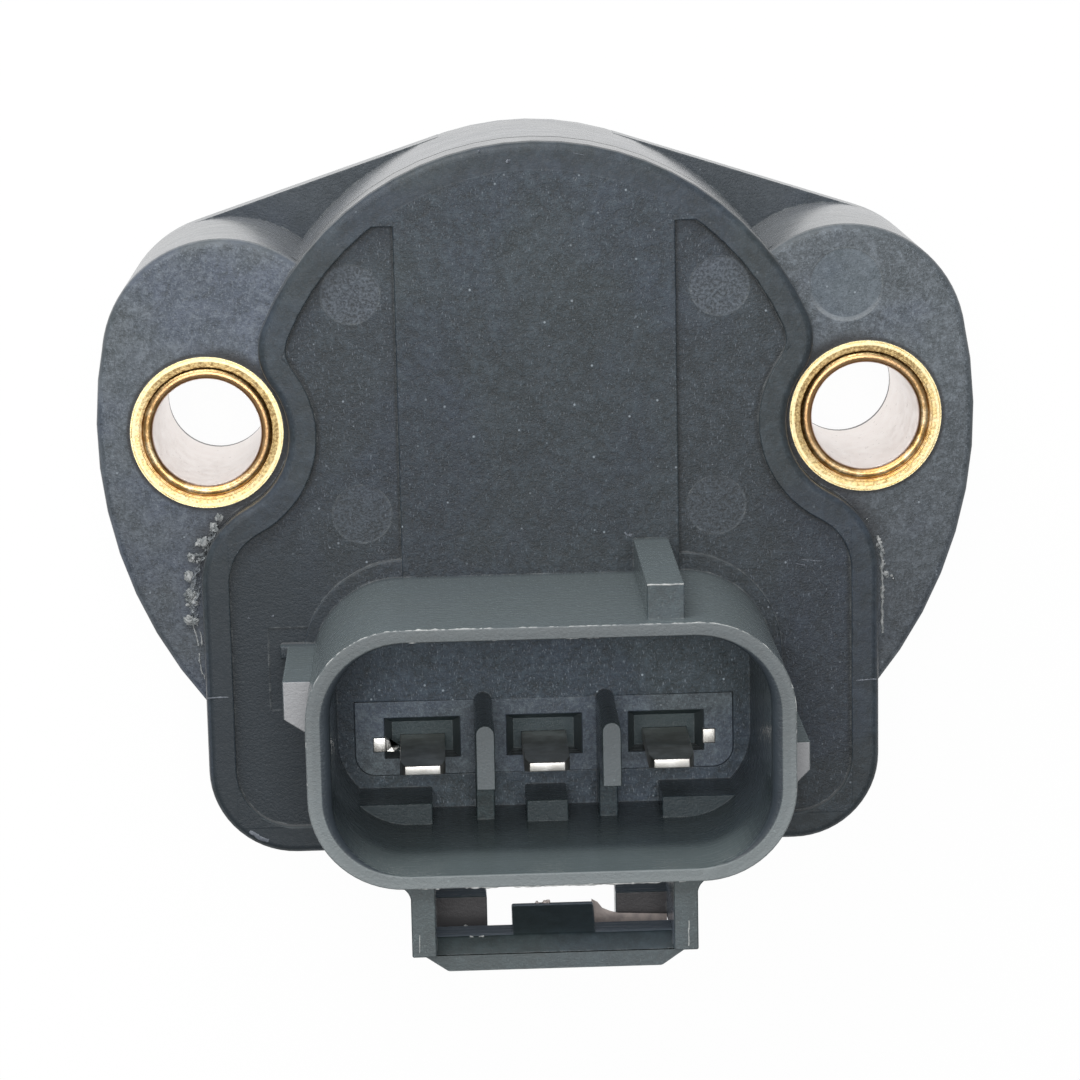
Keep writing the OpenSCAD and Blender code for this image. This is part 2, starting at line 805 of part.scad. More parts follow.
// Contact plate on the rotor flange, with one sprung finger for each track
module wiper() {
  color([0.75, 0.58, 0.32]) {
    translate([0, 0, flange_top]) linear_extrude(wiper_t) difference() {
      sector(wiper_in, wiper_out, wiper_angle - wiper_half, wiper_angle + wiper_half);
      for (y = [-stud_side, stud_side]) rotate(wiper_angle) translate([stud_at, y]) circle(r = stud_r);
    }
    for (r = [collector_r, track_r]) rotate(wiper_angle) translate([r, 0, flange_top]) finger();
  }
}

// The finger rises from the plate to just under the track
module finger() {
  h = board_z - print_t - finger_gap - flange_top;
  sunk = wiper_t / 4;
  rotate([90, 0, 90]) linear_extrude(finger_w, center = true)
    polygon([
      [finger_root[0], sunk], [finger_root[1], sunk],
      [finger_tip[0] + finger_bend, h - 2 * finger_bend], [finger_tip[1], h - finger_bend],
      [finger_tip[2] - finger_bend, h - 1.7 * finger_bend], [finger_tip[2], h - finger_bend],
      [finger_tip[1], h], [finger_tip[0], h - finger_bend],
      [finger_root[1] - wiper_t, wiper_t], [finger_root[0], wiper_t]
    ]);
}

// Centre line of the return spring: radial leg, coil, then an axial leg into the flange
function spring_path() =
  let (
    steps = 24 * coil_turns,
    rise = coil_rise,
    finish = coil_start + 360 * coil_turns,
    leg = [for (p = [[leg_r, 0], [(leg_r + coil_r) / 2, 0], [coil_r + 0.7, 1], [coil_r + 0.2, 5]])
      concat(polar(p[0], coil_start + p[1]), [coil_z])],
    coil = [for (i = [1:steps])
      let (a = coil_start + 9 + (360 * coil_turns - 9) * i / steps)
      concat(polar(coil_r, a), [coil_z + rise * i / steps])],
    up = [for (p = [[3, 0.35], [leg_turn, 0.9], [leg_turn, flange_z + flange_t - coil_z - rise - 0.3]])
      concat(polar(coil_r, finish + p[0]), [coil_z + rise + p[1]])]
  )
  concat(leg, coil, up);

function unit(v) = v / norm(v);

// A tube of radius r along the points of path, as one closed mesh
module tube_along(path, r, sides) {
  n = len(path);
  way = [for (i = [0:n - 1]) unit(path[min(i + 1, n - 1)] - path[max(i - 1, 0)])];
  side = [for (i = 0, s = [0, 0, 1]; i < n; i = i + 1,
      s = i < n ? unit(s - (s * way[i]) * way[i]) : s) unit(s - (s * way[i]) * way[i])];
  points = [for (i = [0:n - 1], k = [0:sides - 1])
    path[i] + r * (cos(360 * k / sides) * side[i] + sin(360 * k / sides) * cross(way[i], side[i]))];
  walls = [for (i = [0:n - 2], k = [0:sides - 1])
    let (a = i * sides + k, b = i * sides + (k + 1) % sides)
    each [[a, a + sides, b + sides], [a, b + sides, b]]];
  ends = [[for (k = [0:sides - 1]) k], [for (k = [sides - 1:-1:0]) (n - 1) * sides + k]];
  polyhedron(points, concat(walls, ends));
}

module return_spring() {
  color([0.70, 0.71, 0.73]) tube_along(spring_path(), wire_d / 2, 8);
}

// Three-wave spring washer between the bearing and the rotor flange
module wave_washer() {
  n = 48;
  t = 0.25;
  lift = (flange_z - bearing_top - t - 0.12) / 2;
  corners = [[hub_d / 2 + 0.4, 0], [hub_d / 2 + 1.7, 0], [hub_d / 2 + 1.7, t], [hub_d / 2 + 0.4, t]];
  points = [for (i = [0:n - 1], c = corners)
    let (a = 360 * i / n)
    concat(polar(c[0], a), [bearing_top + c[1] + lift * (1 + sin(3 * a))])];
  faces = [for (i = [0:n - 1], k = [0:3])
    let (a = i * 4 + k, b = i * 4 + (k + 1) % 4, j = (i + 1) % n * 4 - i * 4)
    each [[a, b, b + j], [a, b + j, a + j]]];
  color([0.66, 0.67, 0.69]) polyhedron(points, faces);
}

// Lip seal in the seat round the hub
module shaft_seal() {
  inner = hub_d / 2 + run_gap;
  z = pilot_depth;
  color([0.12, 0.12, 0.13]) rotate_extrude()
    polygon([[seal_seat_r, z + seal_seat_h], [inner + 0.7, z + seal_seat_h], [inner + 0.7, z + 0.8],
             [inner, z + 0.55], [inner, z + 0.35], [inner + 0.3, z + 0.1], [seal_seat_r, z + 0.1]]);
}

// Rubber ring in the groove of the mounting face
module mounting_seal() {
  r = 0.4;
  color([0.13, 0.13, 0.14]) rotate_extrude()
    translate([seal_d / 2 + seal_w / 2, seal_depth / 2 + 0.01])
      round_rect(seal_w, seal_depth - 0.02, r);
}

housing();
front_cover();
terminal_block();
sleeve_left();
sleeve_right();
terminal_left();
terminal_middle();
terminal_right();
contact_clip_left();
contact_clip_middle();
contact_clip_right();
resistor_board();
resistor_track();
conductor_pattern();
rotor();
wiper();
drive_clip();
return_spring();
wave_washer();
shaft_seal();
mounting_seal();
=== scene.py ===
import math
import random

import bmesh
import bpy
from mathutils import Matrix, Vector, noise


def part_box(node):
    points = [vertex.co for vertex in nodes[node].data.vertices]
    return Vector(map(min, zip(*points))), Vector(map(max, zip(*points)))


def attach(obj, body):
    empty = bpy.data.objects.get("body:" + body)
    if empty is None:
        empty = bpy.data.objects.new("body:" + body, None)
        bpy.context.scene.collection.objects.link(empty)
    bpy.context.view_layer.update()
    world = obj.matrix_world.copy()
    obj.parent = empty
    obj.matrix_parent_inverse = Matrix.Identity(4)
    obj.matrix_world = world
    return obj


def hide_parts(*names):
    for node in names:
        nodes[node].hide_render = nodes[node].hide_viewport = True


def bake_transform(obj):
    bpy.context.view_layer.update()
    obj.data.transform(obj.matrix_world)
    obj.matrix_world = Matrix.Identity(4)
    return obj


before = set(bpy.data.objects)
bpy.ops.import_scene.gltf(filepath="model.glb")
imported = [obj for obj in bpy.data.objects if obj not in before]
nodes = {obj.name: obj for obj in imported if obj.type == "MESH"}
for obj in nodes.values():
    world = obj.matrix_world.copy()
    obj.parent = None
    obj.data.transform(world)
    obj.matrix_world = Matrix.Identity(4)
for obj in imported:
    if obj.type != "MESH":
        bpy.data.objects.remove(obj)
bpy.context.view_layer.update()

MM = 0.001
rng = random.Random(7)


def mm(*values):
    return Vector(values) * MM


def node_span(name):
    """Lowest and highest corner of a node, in millimetres."""
    low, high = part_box(name)
    return low / MM, high / MM


# Places taken from the frame, in millimetres
SLEEVE_LOW, SLEEVE_HIGH = node_span("sleeve_right")
SLEEVE_X = (SLEEVE_LOW.x + SLEEVE_HIGH.x) / 2
SLEEVE_R = (SLEEVE_HIGH.x - SLEEVE_LOW.x) / 2
SLEEVE_TOP = SLEEVE_HIGH.z
COVER_HIGH = node_span("front_cover")[1]
MOUTH_Z = COVER_HIGH.z
BODY_SIDE = COVER_HIGH.x
CEILING_Z = node_span("resistor_board")[1].z
SOCKET_Z = node_span("terminal_block")[1].z
HOUSING_LOW, HOUSING_HIGH = node_span("housing")

# Sizes that the part's source also names, in millimetres
RIM_Z = CEILING_Z + 2.45
FIELD_Z = RIM_Z - 0.55
WELD_Z = RIM_Z - 3.2
EAR_Z = SLEEVE_TOP - 0.08
RIM_W = 1.6
PANEL_HALF = 8
DOME = (0, -0.5, HOUSING_HIGH.y + 0.5)
WAIST_R = SLEEVE_R + 0.35
CORNER_R = 5
BODY_LOW = HOUSING_LOW.y
SHROUD_HALF = (13.35, 7.285)
SHROUD_Y = -15.715
SHROUD_R = 5.2
SHROUD_WALLS = (1.35, 0.75)
SHROUD_INNER_R = 4.15
MOUTH_LEAD = 0.6
RIB_Z = SOCKET_Z + 7.8
KEY_Z = SOCKET_Z + 3.6
LEDGE_Z = MOUTH_Z - 6.8
BAR_Z = MOUTH_Z - 1.6
SIDE_KEY_Z = FIELD_Z + 9.45
BORE_R = 3.1

# In plan: the centre of the body's corner, the ejector marks on the cover as (x, y, strength), and circles as
# (x, y, radius)
CORNER_X = BODY_SIDE - CORNER_R
CORNER_AT = (CORNER_X, -math.sqrt((WAIST_R + CORNER_R) ** 2 - (CORNER_X - SLEEVE_X) ** 2))
EJECTOR_R = 1.7
EJECTORS = ((10.5, 7.95, 1.0), (10.2, -4.75, 0.4))
EAR_MARK = (17.9, 7.7, 2.1)
EAR_SWEEP = (0, 0, SLEEVE_X + 6.35)
EAR_TIP_R = 7
EAR_TIP_ANGLE = math.radians(13)
EAR_TIP = (
    (EAR_SWEEP[2] - EAR_TIP_R) * math.cos(EAR_TIP_ANGLE),
    (EAR_SWEEP[2] - EAR_TIP_R) * math.sin(EAR_TIP_ANGLE),
    EAR_TIP_R,
)

# Camera: its place in millimetres, two of its axes, and the focal length in pixels of the square picture
CAMERA_AT = (-5.76, 34.3, 212.39)
CAMERA_RIGHT = Vector((0.9992, -0.0204, 0.0333))
CAMERA_BACK = Vector((-0.0285, 0.2024, 0.9789))
FOCAL_PIXELS = 3500
IMAGE_SIDE = 1080
SENSOR = 36


def make_camera():
    back = CAMERA_BACK.normalized()
    up = back.cross(CAMERA_RIGHT).normalized()
    right = up.cross(back)
    data = bpy.data.cameras.new("camera")
    data.sensor_width = SENSOR
    data.lens = SENSOR * FOCAL_PIXELS / IMAGE_SIDE
    data.clip_start, data.clip_end = 0.01, 10
    camera = bpy.data.objects.new("camera", data)
    turn = Matrix((right, up, back)).transposed().to_4x4()
    camera.matrix_world = Matrix.Translation(mm(*CAMERA_AT)) @ turn
    bpy.context.scene.collection.objects.link(camera)
    bpy.context.scene.camera = camera


def soft_light(name, at, size, power, colour=(1, 1, 1), aim=(0, -4, 10)):
    data = bpy.data.lights.new(name, "AREA")
    data.shape = "RECTANGLE"
    data.size, data.size_y = size[0] * MM, size[1] * MM
    data.energy = power
    data.color = colour
    lamp = bpy.data.objects.new(name, data)
    lamp.location = mm(*at)
    lamp.rotation_euler = (mm(*aim) - lamp.location).to_track_quat("-Z", "Y").to_euler()
    bpy.context.scene.collection.objects.link(lamp)


class Tree:
    """A material's node tree with short calls: each call makes a node, links its inputs and returns
    an output. Places and distances are in millimetres."""

    def __init__(self, name):
        self.material = bpy.data.materials.new(name)
        self.material.use_nodes = True
        self.nodes = self.material.node_tree.nodes
        self.links = self.material.node_tree.links
        self.shader = self.nodes["Principled BSDF"]
        self.colour = None

    def put(self, socket, value):
        if isinstance(value, bpy.types.NodeSocket):
            self.links.new(value, socket)
        else:
            socket.default_value = value

    def node(self, kind, output=0, settings=None, **inputs):
        node = self.nodes.new("ShaderNode" + kind)
        for key, value in (settings or {}).items():
            setattr(node, key, value)
        for key, value in inputs.items():
            key = int(key[1:]) if key[0] == "i" and key[1:].isdigit() else key.replace("_", " ")
            self.put(node.inputs[key], value)
        return node.outputs[output]

    def math(self, operation, *values, clamp=False):
        node = self.nodes.new("ShaderNodeMath")
        node.operation, node.use_clamp = operation, clamp
        for socket, value in zip(node.inputs, values):
            self.put(socket, value)
        return node.outputs[0]

    def times(self, first, *others):
        for other in others:
            first = self.math("MULTIPLY", first, other)
        return first

    def most(self, first, *others):
        for other in others:
            first = self.math("MAXIMUM", first, other)
        return first

    def place(self):
        place = self.node("TexCoord", "Object")
        return self.node("VectorMath", "Vector", {"operation": "SCALE"}, i0=place, Scale=1 / MM)

    def facing(self, axis="Z"):
        return self.split(self.node("NewGeometry", "True Normal"), axis)

    def scaled(self, vector, scale, turn=0):
        return self.node("Mapping", 0, None, Vector=vector, Scale=scale, Rotation=(0, 0, math.radians(turn)))

    def noise(self, vector, scale, detail=3, rough=0.55):
        return self.node("TexNoise", "Fac", None, Vector=vector, Scale=scale, Detail=detail, Roughness=rough)

    def cells(self, vector, scale, output="Distance"):
        return self.node("TexVoronoi", output, None, Vector=vector, Scale=scale)

    def step(self, value, low, high, to_low=0.0, to_high=1.0):
        node = self.nodes.new("ShaderNodeMapRange")
        node.interpolation_type = "SMOOTHSTEP"
        for socket, item in zip(node.inputs, (value, low, high, to_low, to_high)):
            self.put(socket, item)
        return node.outputs[0]

    def band(self, value, low, high, soft=0.05):
        """1 between two values and 0 outside them."""
        return self.times(self.step(value, low - soft, low), self.step(value, high + soft, high))

    def mix(self, share, a, b, blend="MIX"):
        node = self.nodes.new("ShaderNodeMix")
        node.data_type, node.blend_type = "RGBA", blend
        self.put(node.inputs[0], share)
        for socket, value in ((node.inputs[6], a), (node.inputs[7], b)):
            self.put(socket, (*value, 1) if isinstance(value, tuple) else value)
        return node.outputs[2]

    def tone(self, colour, *shares, blend="MIX"):
        """Lays a colour over the material's last one, by the product of the shares."""
        self.colour = self.mix(self.times(*shares), self.colour, colour, blend)

    def split(self, vector, axis):
        return self.node("SeparateXYZ", "XYZ".index(axis), None, Vector=vector)

    def reach(self, place, x, y, mirror=False):
        """Distance in plan from (x, y), or from it and its mirror image across the YZ plane."""
        px = self.split(place, "X")
        dx = self.math("SUBTRACT", self.math("ABSOLUTE", px) if mirror else px, x)
        dy = self.math("SUBTRACT", self.split(place, "Y"), y)
        return self.math("SQRT", self.math("ADD", self.times(dx, dx), self.times(dy, dy)))

    def bump(self, height, strength, distance, normal=None):
        node = self.nodes.new("ShaderNodeBump")
        self.put(node.inputs["Height"], height)
        node.inputs["Strength"].default_value = strength
        node.inputs["Distance"].default_value = distance * MM
        if normal is not None:
            self.put(node.inputs["Normal"], normal)
        return node.outputs[0]

    def edge(self, radius):
        """1 at an edge and 0 on a flat face, from the difference between the rounded and the true normal."""
        rounded = self.node("Bevel", 0, {"samples": 6}, Radius=radius * MM)
        true = self.node("NewGeometry", "True Normal")
        dot = self.node("VectorMath", "Value", {"operation": "DOT_PRODUCT"}, i0=rounded, i1=true)
        return self.math("SUBTRACT", 1.0, dot, clamp=True)

    def finish(self, colour, roughness, normal=None, **fixed):
        self.put(self.shader.inputs["Base Color"], colour)
        self.put(self.shader.inputs["Roughness"], roughness)
        if normal is not None:
            self.put(self.shader.inputs["Normal"], normal)
        for key, value in fixed.items():
            self.shader.inputs[key.replace("_", " ")].default_value = value
        return self.material


def tint(colour, share):
    return tuple(share * v for v in colour)


class Plastic(Tree):
    """A moulded plastic, with the fields that its tones share."""

    def __init__(self, name):
        super().__init__(name)
        self.at = self.place()
        self.x, self.y, self.z = (self.split(self.at, axis) for axis in "XYZ")
        self.off_middle = self.math("ABSOLUTE", self.x)
        self.up = self.facing()
        self.flat = self.step(self.up, 0.7, 0.95)
        self.wall = self.step(self.math("ABSOLUTE", self.up), 0.35, 0.15)

    def less(self, share):
        return self.math("SUBTRACT", 1.0, share)

    def level(self, z, below=0.1, above=0.1, soft=0.05):
        """1 close to a level."""
        return self.band(self.z, z - below, z + above, soft)


def rim_depth(t):
    """How far a point of the cover lies inside its rim's inner line: above 0 on the rim."""
    dome = t.math("SUBTRACT", t.reach(t.at, DOME[0], DOME[1]), DOME[2] - RIM_W)
    dome = t.math("SUBTRACT", dome, t.step(t.y, 3, 0, 0, 40))
    waist = t.math("SUBTRACT", WAIST_R + RIM_W, t.reach(t.at, SLEEVE_X, 0, True))
    side = t.math("SUBTRACT", t.off_middle, BODY_SIDE - RIM_W)
    low = t.math("SUBTRACT", BODY_LOW + RIM_W, t.y)
    return t.most(dome, waist, side, low)


def shroud_reach(t):
    """Distance in plan from the shroud's core: SHROUD_R on its outline, and less inside it."""
    over = []
    for value, middle, half in ((t.x, 0, SHROUD_HALF[0]), (t.y, SHROUD_Y, SHROUD_HALF[1])):
        away = t.math("ABSOLUTE", t.math("SUBTRACT", value, middle))
        over.append(t.math("MAXIMUM", t.math("SUBTRACT", away, half - SHROUD_R), 0.0))
    return t.math("SQRT", t.math("ADD", t.times(over[0], over[0]), t.times(over[1], over[1])))


def sleeve_shade_zone(t):
    """1 in the narrow gap between a sleeve and the cover's wall, and less in the thin line round the rest
    of the sleeve and at the wall's foot below it: where the shade is painted."""
    sleeve = t.reach(t.at, SLEEVE_X, 0, True)
    corner = t.math("SUBTRACT", t.reach(t.at, *CORNER_AT, True), CORNER_R)
    inner = t.step(t.off_middle, SLEEVE_X + 1.5, SLEEVE_X - 1.5)
    gap = t.times(t.step(sleeve, SLEEVE_R + 0.9, SLEEVE_R + 0.15), inner)
    line = t.step(sleeve, SLEEVE_R + 0.32, SLEEVE_R + 0.1, 0, 0.9)
    foot = t.times(t.step(corner, 1.3, 0.1), t.step(corner, -0.3, -0.1), t.step(t.y, -9.5, -5.5, 0, 0.8))
    return t.most(gap, line, foot)


def texture(t, base, light, coarse):
    """Clouds, mottling, short pale fibres and specks. Coarse is 1 on textured faces. Returns the grain and
    the surface's height."""
    rough = t.math("ADD", 0.35, t.times(coarse, 0.65))
    hue = t.noise(t.at, 0.11, 3, 0.5)
    cloud = t.noise(t.at, 0.24, 4, 0.6)
    blotch = t.noise(t.at, 0.95, 4, 0.62)
    clump = t.noise(t.at, 1.9, 3, 0.6)
    grain = t.noise(t.at, 6.2, 2, 0.6)
    fine = t.noise(t.at, 14, 2, 0.6)
    t.colour = t.mix(t.step(blotch, 0.3, 0.7), base, light)
    t.tone((0.92, 0.96, 1.16), t.step(hue, 0.42, 0.58), blend="MULTIPLY")
    t.tone(tint(base, 0.6), t.step(cloud, 0.42, 0.62, 0, 0.34))
    for field, low, high, share, colour in (
        (clump, 0.5, 0.7, 0.45, tint(light, 1.6)),
        (clump, 0.46, 0.3, 0.4, tint(base, 0.5)),
        (grain, 0.5, 0.74, 0.5, tint(light, 1.9)),
        (grain, 0.48, 0.28, 0.55, tint(base, 0.4)),
        (fine, 0.55, 0.75, 0.6, tint(light, 2.4)),
    ):
        t.tone(colour, t.step(field, low, high, 0, share), rough)
    for turn in (30, 62, 118):
        fibres = t.noise(t.scaled(t.at, (12, 3.6, 5), turn), 1, 2, 0.5)
        t.tone((0.22, 0.245, 0.28), t.step(fibres, 0.63, 0.78, 0, 0.5), coarse)
    chosen = t.split(t.cells(t.at, 1.9, "Color"), "X")
    speck = t.times(t.step(t.cells(t.at, 1.9), 0.17, 0.07), t.step(chosen, 0.86, 0.95))
    t.tone((0.36, 0.4, 0.44), speck, coarse, 0.7)
    mottled = t.times(t.math("ADD", grain, t.times(fine, 0.5)), rough)
    return grain, t.math("ADD", mottled, t.times(blotch, 0.8))


def ear_mark(t):
    """Round ejector mark on the right ear, with a pale crescent along its lower side as a painted highlight.
    """
    x, y, radius = EAR_MARK
    away = t.reach(t.at, x, y)
    on_ear = t.level(EAR_Z, 0.1, 0.05)
    t.tone((0.09, 0.12, 0.145), t.step(away, radius + 0.05, radius - 0.15), on_ear, 0.3)
    # Painted highlight: the pale crescent on the mark's lower side, where its shallow edge catches the light.
    line = t.band(away, radius - 0.14, radius + 0.04, 0.08)
    t.tone((0.24, 0.26, 0.28), line, t.step(t.y, y - 0.6, y - 1.7), on_ear, 0.55)


def shroud_light_and_shade(t, shroud, outside):
    """Painted light and shade on the connector: lighter tops on its keys, ribs and mouth, painted shade on
    the mouth's rounded inner edges, on its deep flats and on the latch ledges, a brightened socket floor, and
    walls lightened for their sheen and the light falling on them.
    """
    inside = t.less(outside)
    # Painted highlight: the side keys' top faces and the rib tops are lighter.
    key = t.times(t.band(t.off_middle, 13.2, 16), t.level(SIDE_KEY_Z, 0.9, 0.6))
    t.tone((0.33, 0.33, 0.34), t.flat, key, 0.85)
    t.tone((0.17, 0.19, 0.2), t.flat, t.level(RIB_Z, 0.3, 0.4, 0.1), 0.7)
    # Painted light: the mouth's top face is lighter, more so along its lower side.
    mouth = t.times(t.step(t.up, 0.4, 0.8), t.step(shroud, SHROUD_R - 0.86, SHROUD_R - 0.74))
    mouth_painted_light = t.mix(t.step(t.y, -12, -21), (0.15, 0.165, 0.17), (0.23, 0.255, 0.26))
    t.tone(mouth_painted_light, mouth, t.level(MOUTH_Z, 0.12, 0.1, 0.1), 0.7)
    # Painted shade: the rounded inner edges of the mouth's short sides are darkened.
    lead_shade = t.times(t.step(shroud, SHROUD_R - 0.76, SHROUD_R - 0.86), t.step(t.off_middle, 8, 10.5))
    t.tone((0.026, 0.034, 0.044), lead_shade, t.step(t.z, MOUTH_Z - 1.2, MOUTH_Z - 0.6), 0.8)
    # Painted light: the socket floor is brightened.
    t.tone((2.4, 2.45, 2.4), t.flat, inside, t.level(SOCKET_Z, 0.08, 0.08, 0.04), blend="MULTIPLY")
    # Painted shade: flats deep in the socket and the latch ledges are darkened.
    t.tone((0.03, 0.045, 0.052), t.flat, inside, t.level(KEY_Z), 0.7)
    t.tone((0.05, 0.045, 0.047), t.flat, outside, t.level(LEDGE_Z), 0.9)
    # Painted sheen: the shroud's outer walls are lighter, and the latch ramp wall below the mouth is lifted
    # further as painted light.
    side = t.times(t.wall, outside, t.step(t.z, FIELD_Z + 0.1, RIM_Z + 0.8))
    t.tone((0.14, 0.165, 0.17), side, 0.75)
    t.tone((0.24, 0.28, 0.34), side, t.step(t.y, -24, -25), 0.8)
    # Painted light: the walls at the socket floor are lightened.
    t.tone((0.09, 0.11, 0.115), t.wall, t.step(t.z, SOCKET_Z - 0.1, SOCKET_Z + 0.4), t.less(side), 0.45)
    # Painted light: the inner walls that face the dome's side are lighter.
    lit = t.times(t.step(t.facing("Y"), 0.5, 0.9), t.step(t.z, MOUTH_Z - 5.4, MOUTH_Z - 3.4))
    t.tone((0.13, 0.16, 0.165), t.wall, inside, lit, 0.8)


def step_shadow_lines(t, depth):
    """Painted shadow: dark lines on the field beside the steps up to the rim and the panel."""
    beside = t.step(t.math("SUBTRACT", t.off_middle, PANEL_HALF), 0.26, 0.06)
    # Painted shadow beside the steps.
    t.tone((0.006, 0.009, 0.011), t.most(t.step(depth, -0.32, -0.08), beside), t.level(FIELD_Z), 0.7)


def shaded_corner_and_ejectors(t, grain):
    """Painted shade on the lower left corner of the cover, and the cover's ejector marks."""
    # Painted shade: the flat faces of the lower left corner are darkened.
    corner = t.times(t.step(t.x, -9, -15), t.step(t.y, -3, -10), t.step(t.z, RIM_Z + 1, RIM_Z))
    t.tone((0.013, 0.02, 0.026), t.flat, corner, 0.85)
    on_field = t.level(FIELD_Z, 0.1, 0.05)
    for x, y, share in EJECTORS:
        away = t.reach(t.at, x, y, True)
        disc = t.step(away, EJECTOR_R + 0.05, EJECTOR_R - 0.1, 0, share)
        t.tone((0.16, 0.18, 0.21), disc, on_field, t.step(grain, 0.4, 0.62, 0.15, 1), 0.38)
        line = t.band(away, EJECTOR_R - 0.08, EJECTOR_R + 0.02, 0.04)
        t.tone((0.1, 0.12, 0.14), line, on_field, 0.14)


def joint_shade_sheen_and_weld_line(t):
    """Painted shade in the gaps at the sleeves, a lighter tone painted on the low walls for their sheen, and
    the dark weld line round dome and body.
    """
    under_rim = t.times(t.wall, t.step(t.z, RIM_Z - 0.1, RIM_Z - 0.4))
    deep = t.most(t.step(t.z, EAR_Z + 0.2, EAR_Z + 0.05), under_rim)
    shade = t.times(sleeve_shade_zone(t), deep, t.step(t.z, WELD_Z - 3, WELD_Z - 2))
    # Painted shade: near black in the gaps at the sleeves, the thin line round them and the wall's foot.
    t.tone((0.011, 0.011, 0.012), shade, 0.88)
    # Painted sheen: a lighter, even tone on the walls below the rim, in place of their glossy reflection.
    t.tone((0.17, 0.175, 0.18), t.wall, t.step(t.z, RIM_Z + 0.2, RIM_Z - 0.4), t.less(shade), 0.75)
    on_dome = t.step(t.reach(t.at, DOME[0], DOME[1]), DOME[2] + 0.5, DOME[2] + 0.2)
    on_body = t.times(t.step(t.off_middle, BODY_SIDE + 0.3, BODY_SIDE + 0.1), t.step(t.y, -5, -6))
    line = t.times(t.step(t.up, 0.9, 0.7), t.level(WELD_Z, 0.26, 0.08))
    t.tone((0.02, 0.022, 0.022), line, t.most(on_dome, on_body), 0.85)


def moulded_plastic(name, base, light, wear_and_highlight=0.5, dim=0.5, cover=False, block=False):
    """Glass-filled plastic: mottled on its textured faces, finely streaked on its smooth walls and pale at
    its edges, partly worn and partly a painted highlight. It also carries painted light and shade. Dim is how
    far its faces darken towards the connector, as painted shade."""
    t = Plastic(name)
    coarse, outside = t.flat, 1.0
    if cover:
        depth, shroud = rim_depth(t), shroud_reach(t)
        on_rim = t.times(t.step(depth, -0.05, 0.05), t.level(RIM_Z, 0.3, 0.1, 0.1))
        coarse = t.times(t.flat, t.less(t.times(on_rim, 0.75)))
        outside = t.step(shroud, SHROUD_R - 0.45, SHROUD_R - 0.25)
    grain, relief = texture(t, base, light, coarse)
    # Painted shade: flat faces below the rim darken towards the connector, and on the cover below its top, in
    # place of light falling from the dome's side.
    low = t.times(t.flat, t.step(t.z, RIM_Z + 1, RIM_Z))
    t.tone((0.25, 0.27, 0.3), t.step(t.y, 6, -13, 0, dim), low, blend="MULTIPLY")
    if cover:
        t.tone((0.85, 0.86, 0.88), low, t.less(on_rim), t.step(t.y, 9, 4), blend="MULTIPLY")
    t.tone((0.9, 1.05, 0.95), t.step(t.z, FIELD_Z, RIM_Z + 2), blend="MULTIPLY")
    # Painted light: flat faces well above the rim, outside the socket, are lighter, more so towards the
    # latch.
    above = t.times(t.step(t.z, RIM_Z + 0.5, RIM_Z + 4), outside)
    t.tone((0.15, 0.17, 0.175), t.flat, above, t.step(t.y, -5, -11, 0.18, 0.42))
    # Painted shade: flat faces of the low web beside the dome are darkened.
    t.tone((0.018, 0.026, 0.034), t.flat, t.step(t.z, 5, 2), 0.75)
    ear_mark(t)
    if cover:
        step_shadow_lines(t, depth)
        shroud_light_and_shade(t, shroud, outside)
        shaded_corner_and_ejectors(t, grain)
    if block:
        # Painted shade: the block's pockets below the socket floor are darkened.
        t.tone((0.03, 0.05, 0.053), t.step(t.z, SOCKET_Z - 0.05, SOCKET_Z - 0.3), 0.85)
    joint_shade_sheen_and_weld_line(t)
    streak = t.noise(t.scaled(t.at, (0.35, 0.35, 7)), 1, 4, 0.6)
    t.tone(tint(light, 2), t.wall, t.step(streak, 0.45, 0.7, 0, 0.15))
    # Pale edges: worn plastic broken up by the scuff noise, and partly a painted highlight on the rounded
    # edges.
    scuff = t.step(t.noise(t.at, 1.6, 5, 0.7), 0.42, 0.66, 0.1, 1)
    t.tone((0.3, 0.32, 0.32), t.step(t.edge(0.16), 0.02, 0.14), scuff, t.less(t.wall), wear_and_highlight)
    normal = t.bump(t.times(relief, t.less(t.wall)), 0.5, 0.07)
    rough = t.times(t.step(grain, 0.25, 0.75, 0.5, 0.64), t.less(t.wall))
    smooth = t.times(t.step(streak, 0.3, 0.7, 0.17, 0.3), t.wall)
    return t.finish(t.colour, t.math("ADD", rough, smooth), normal, Specular_IOR_Level=0.5)


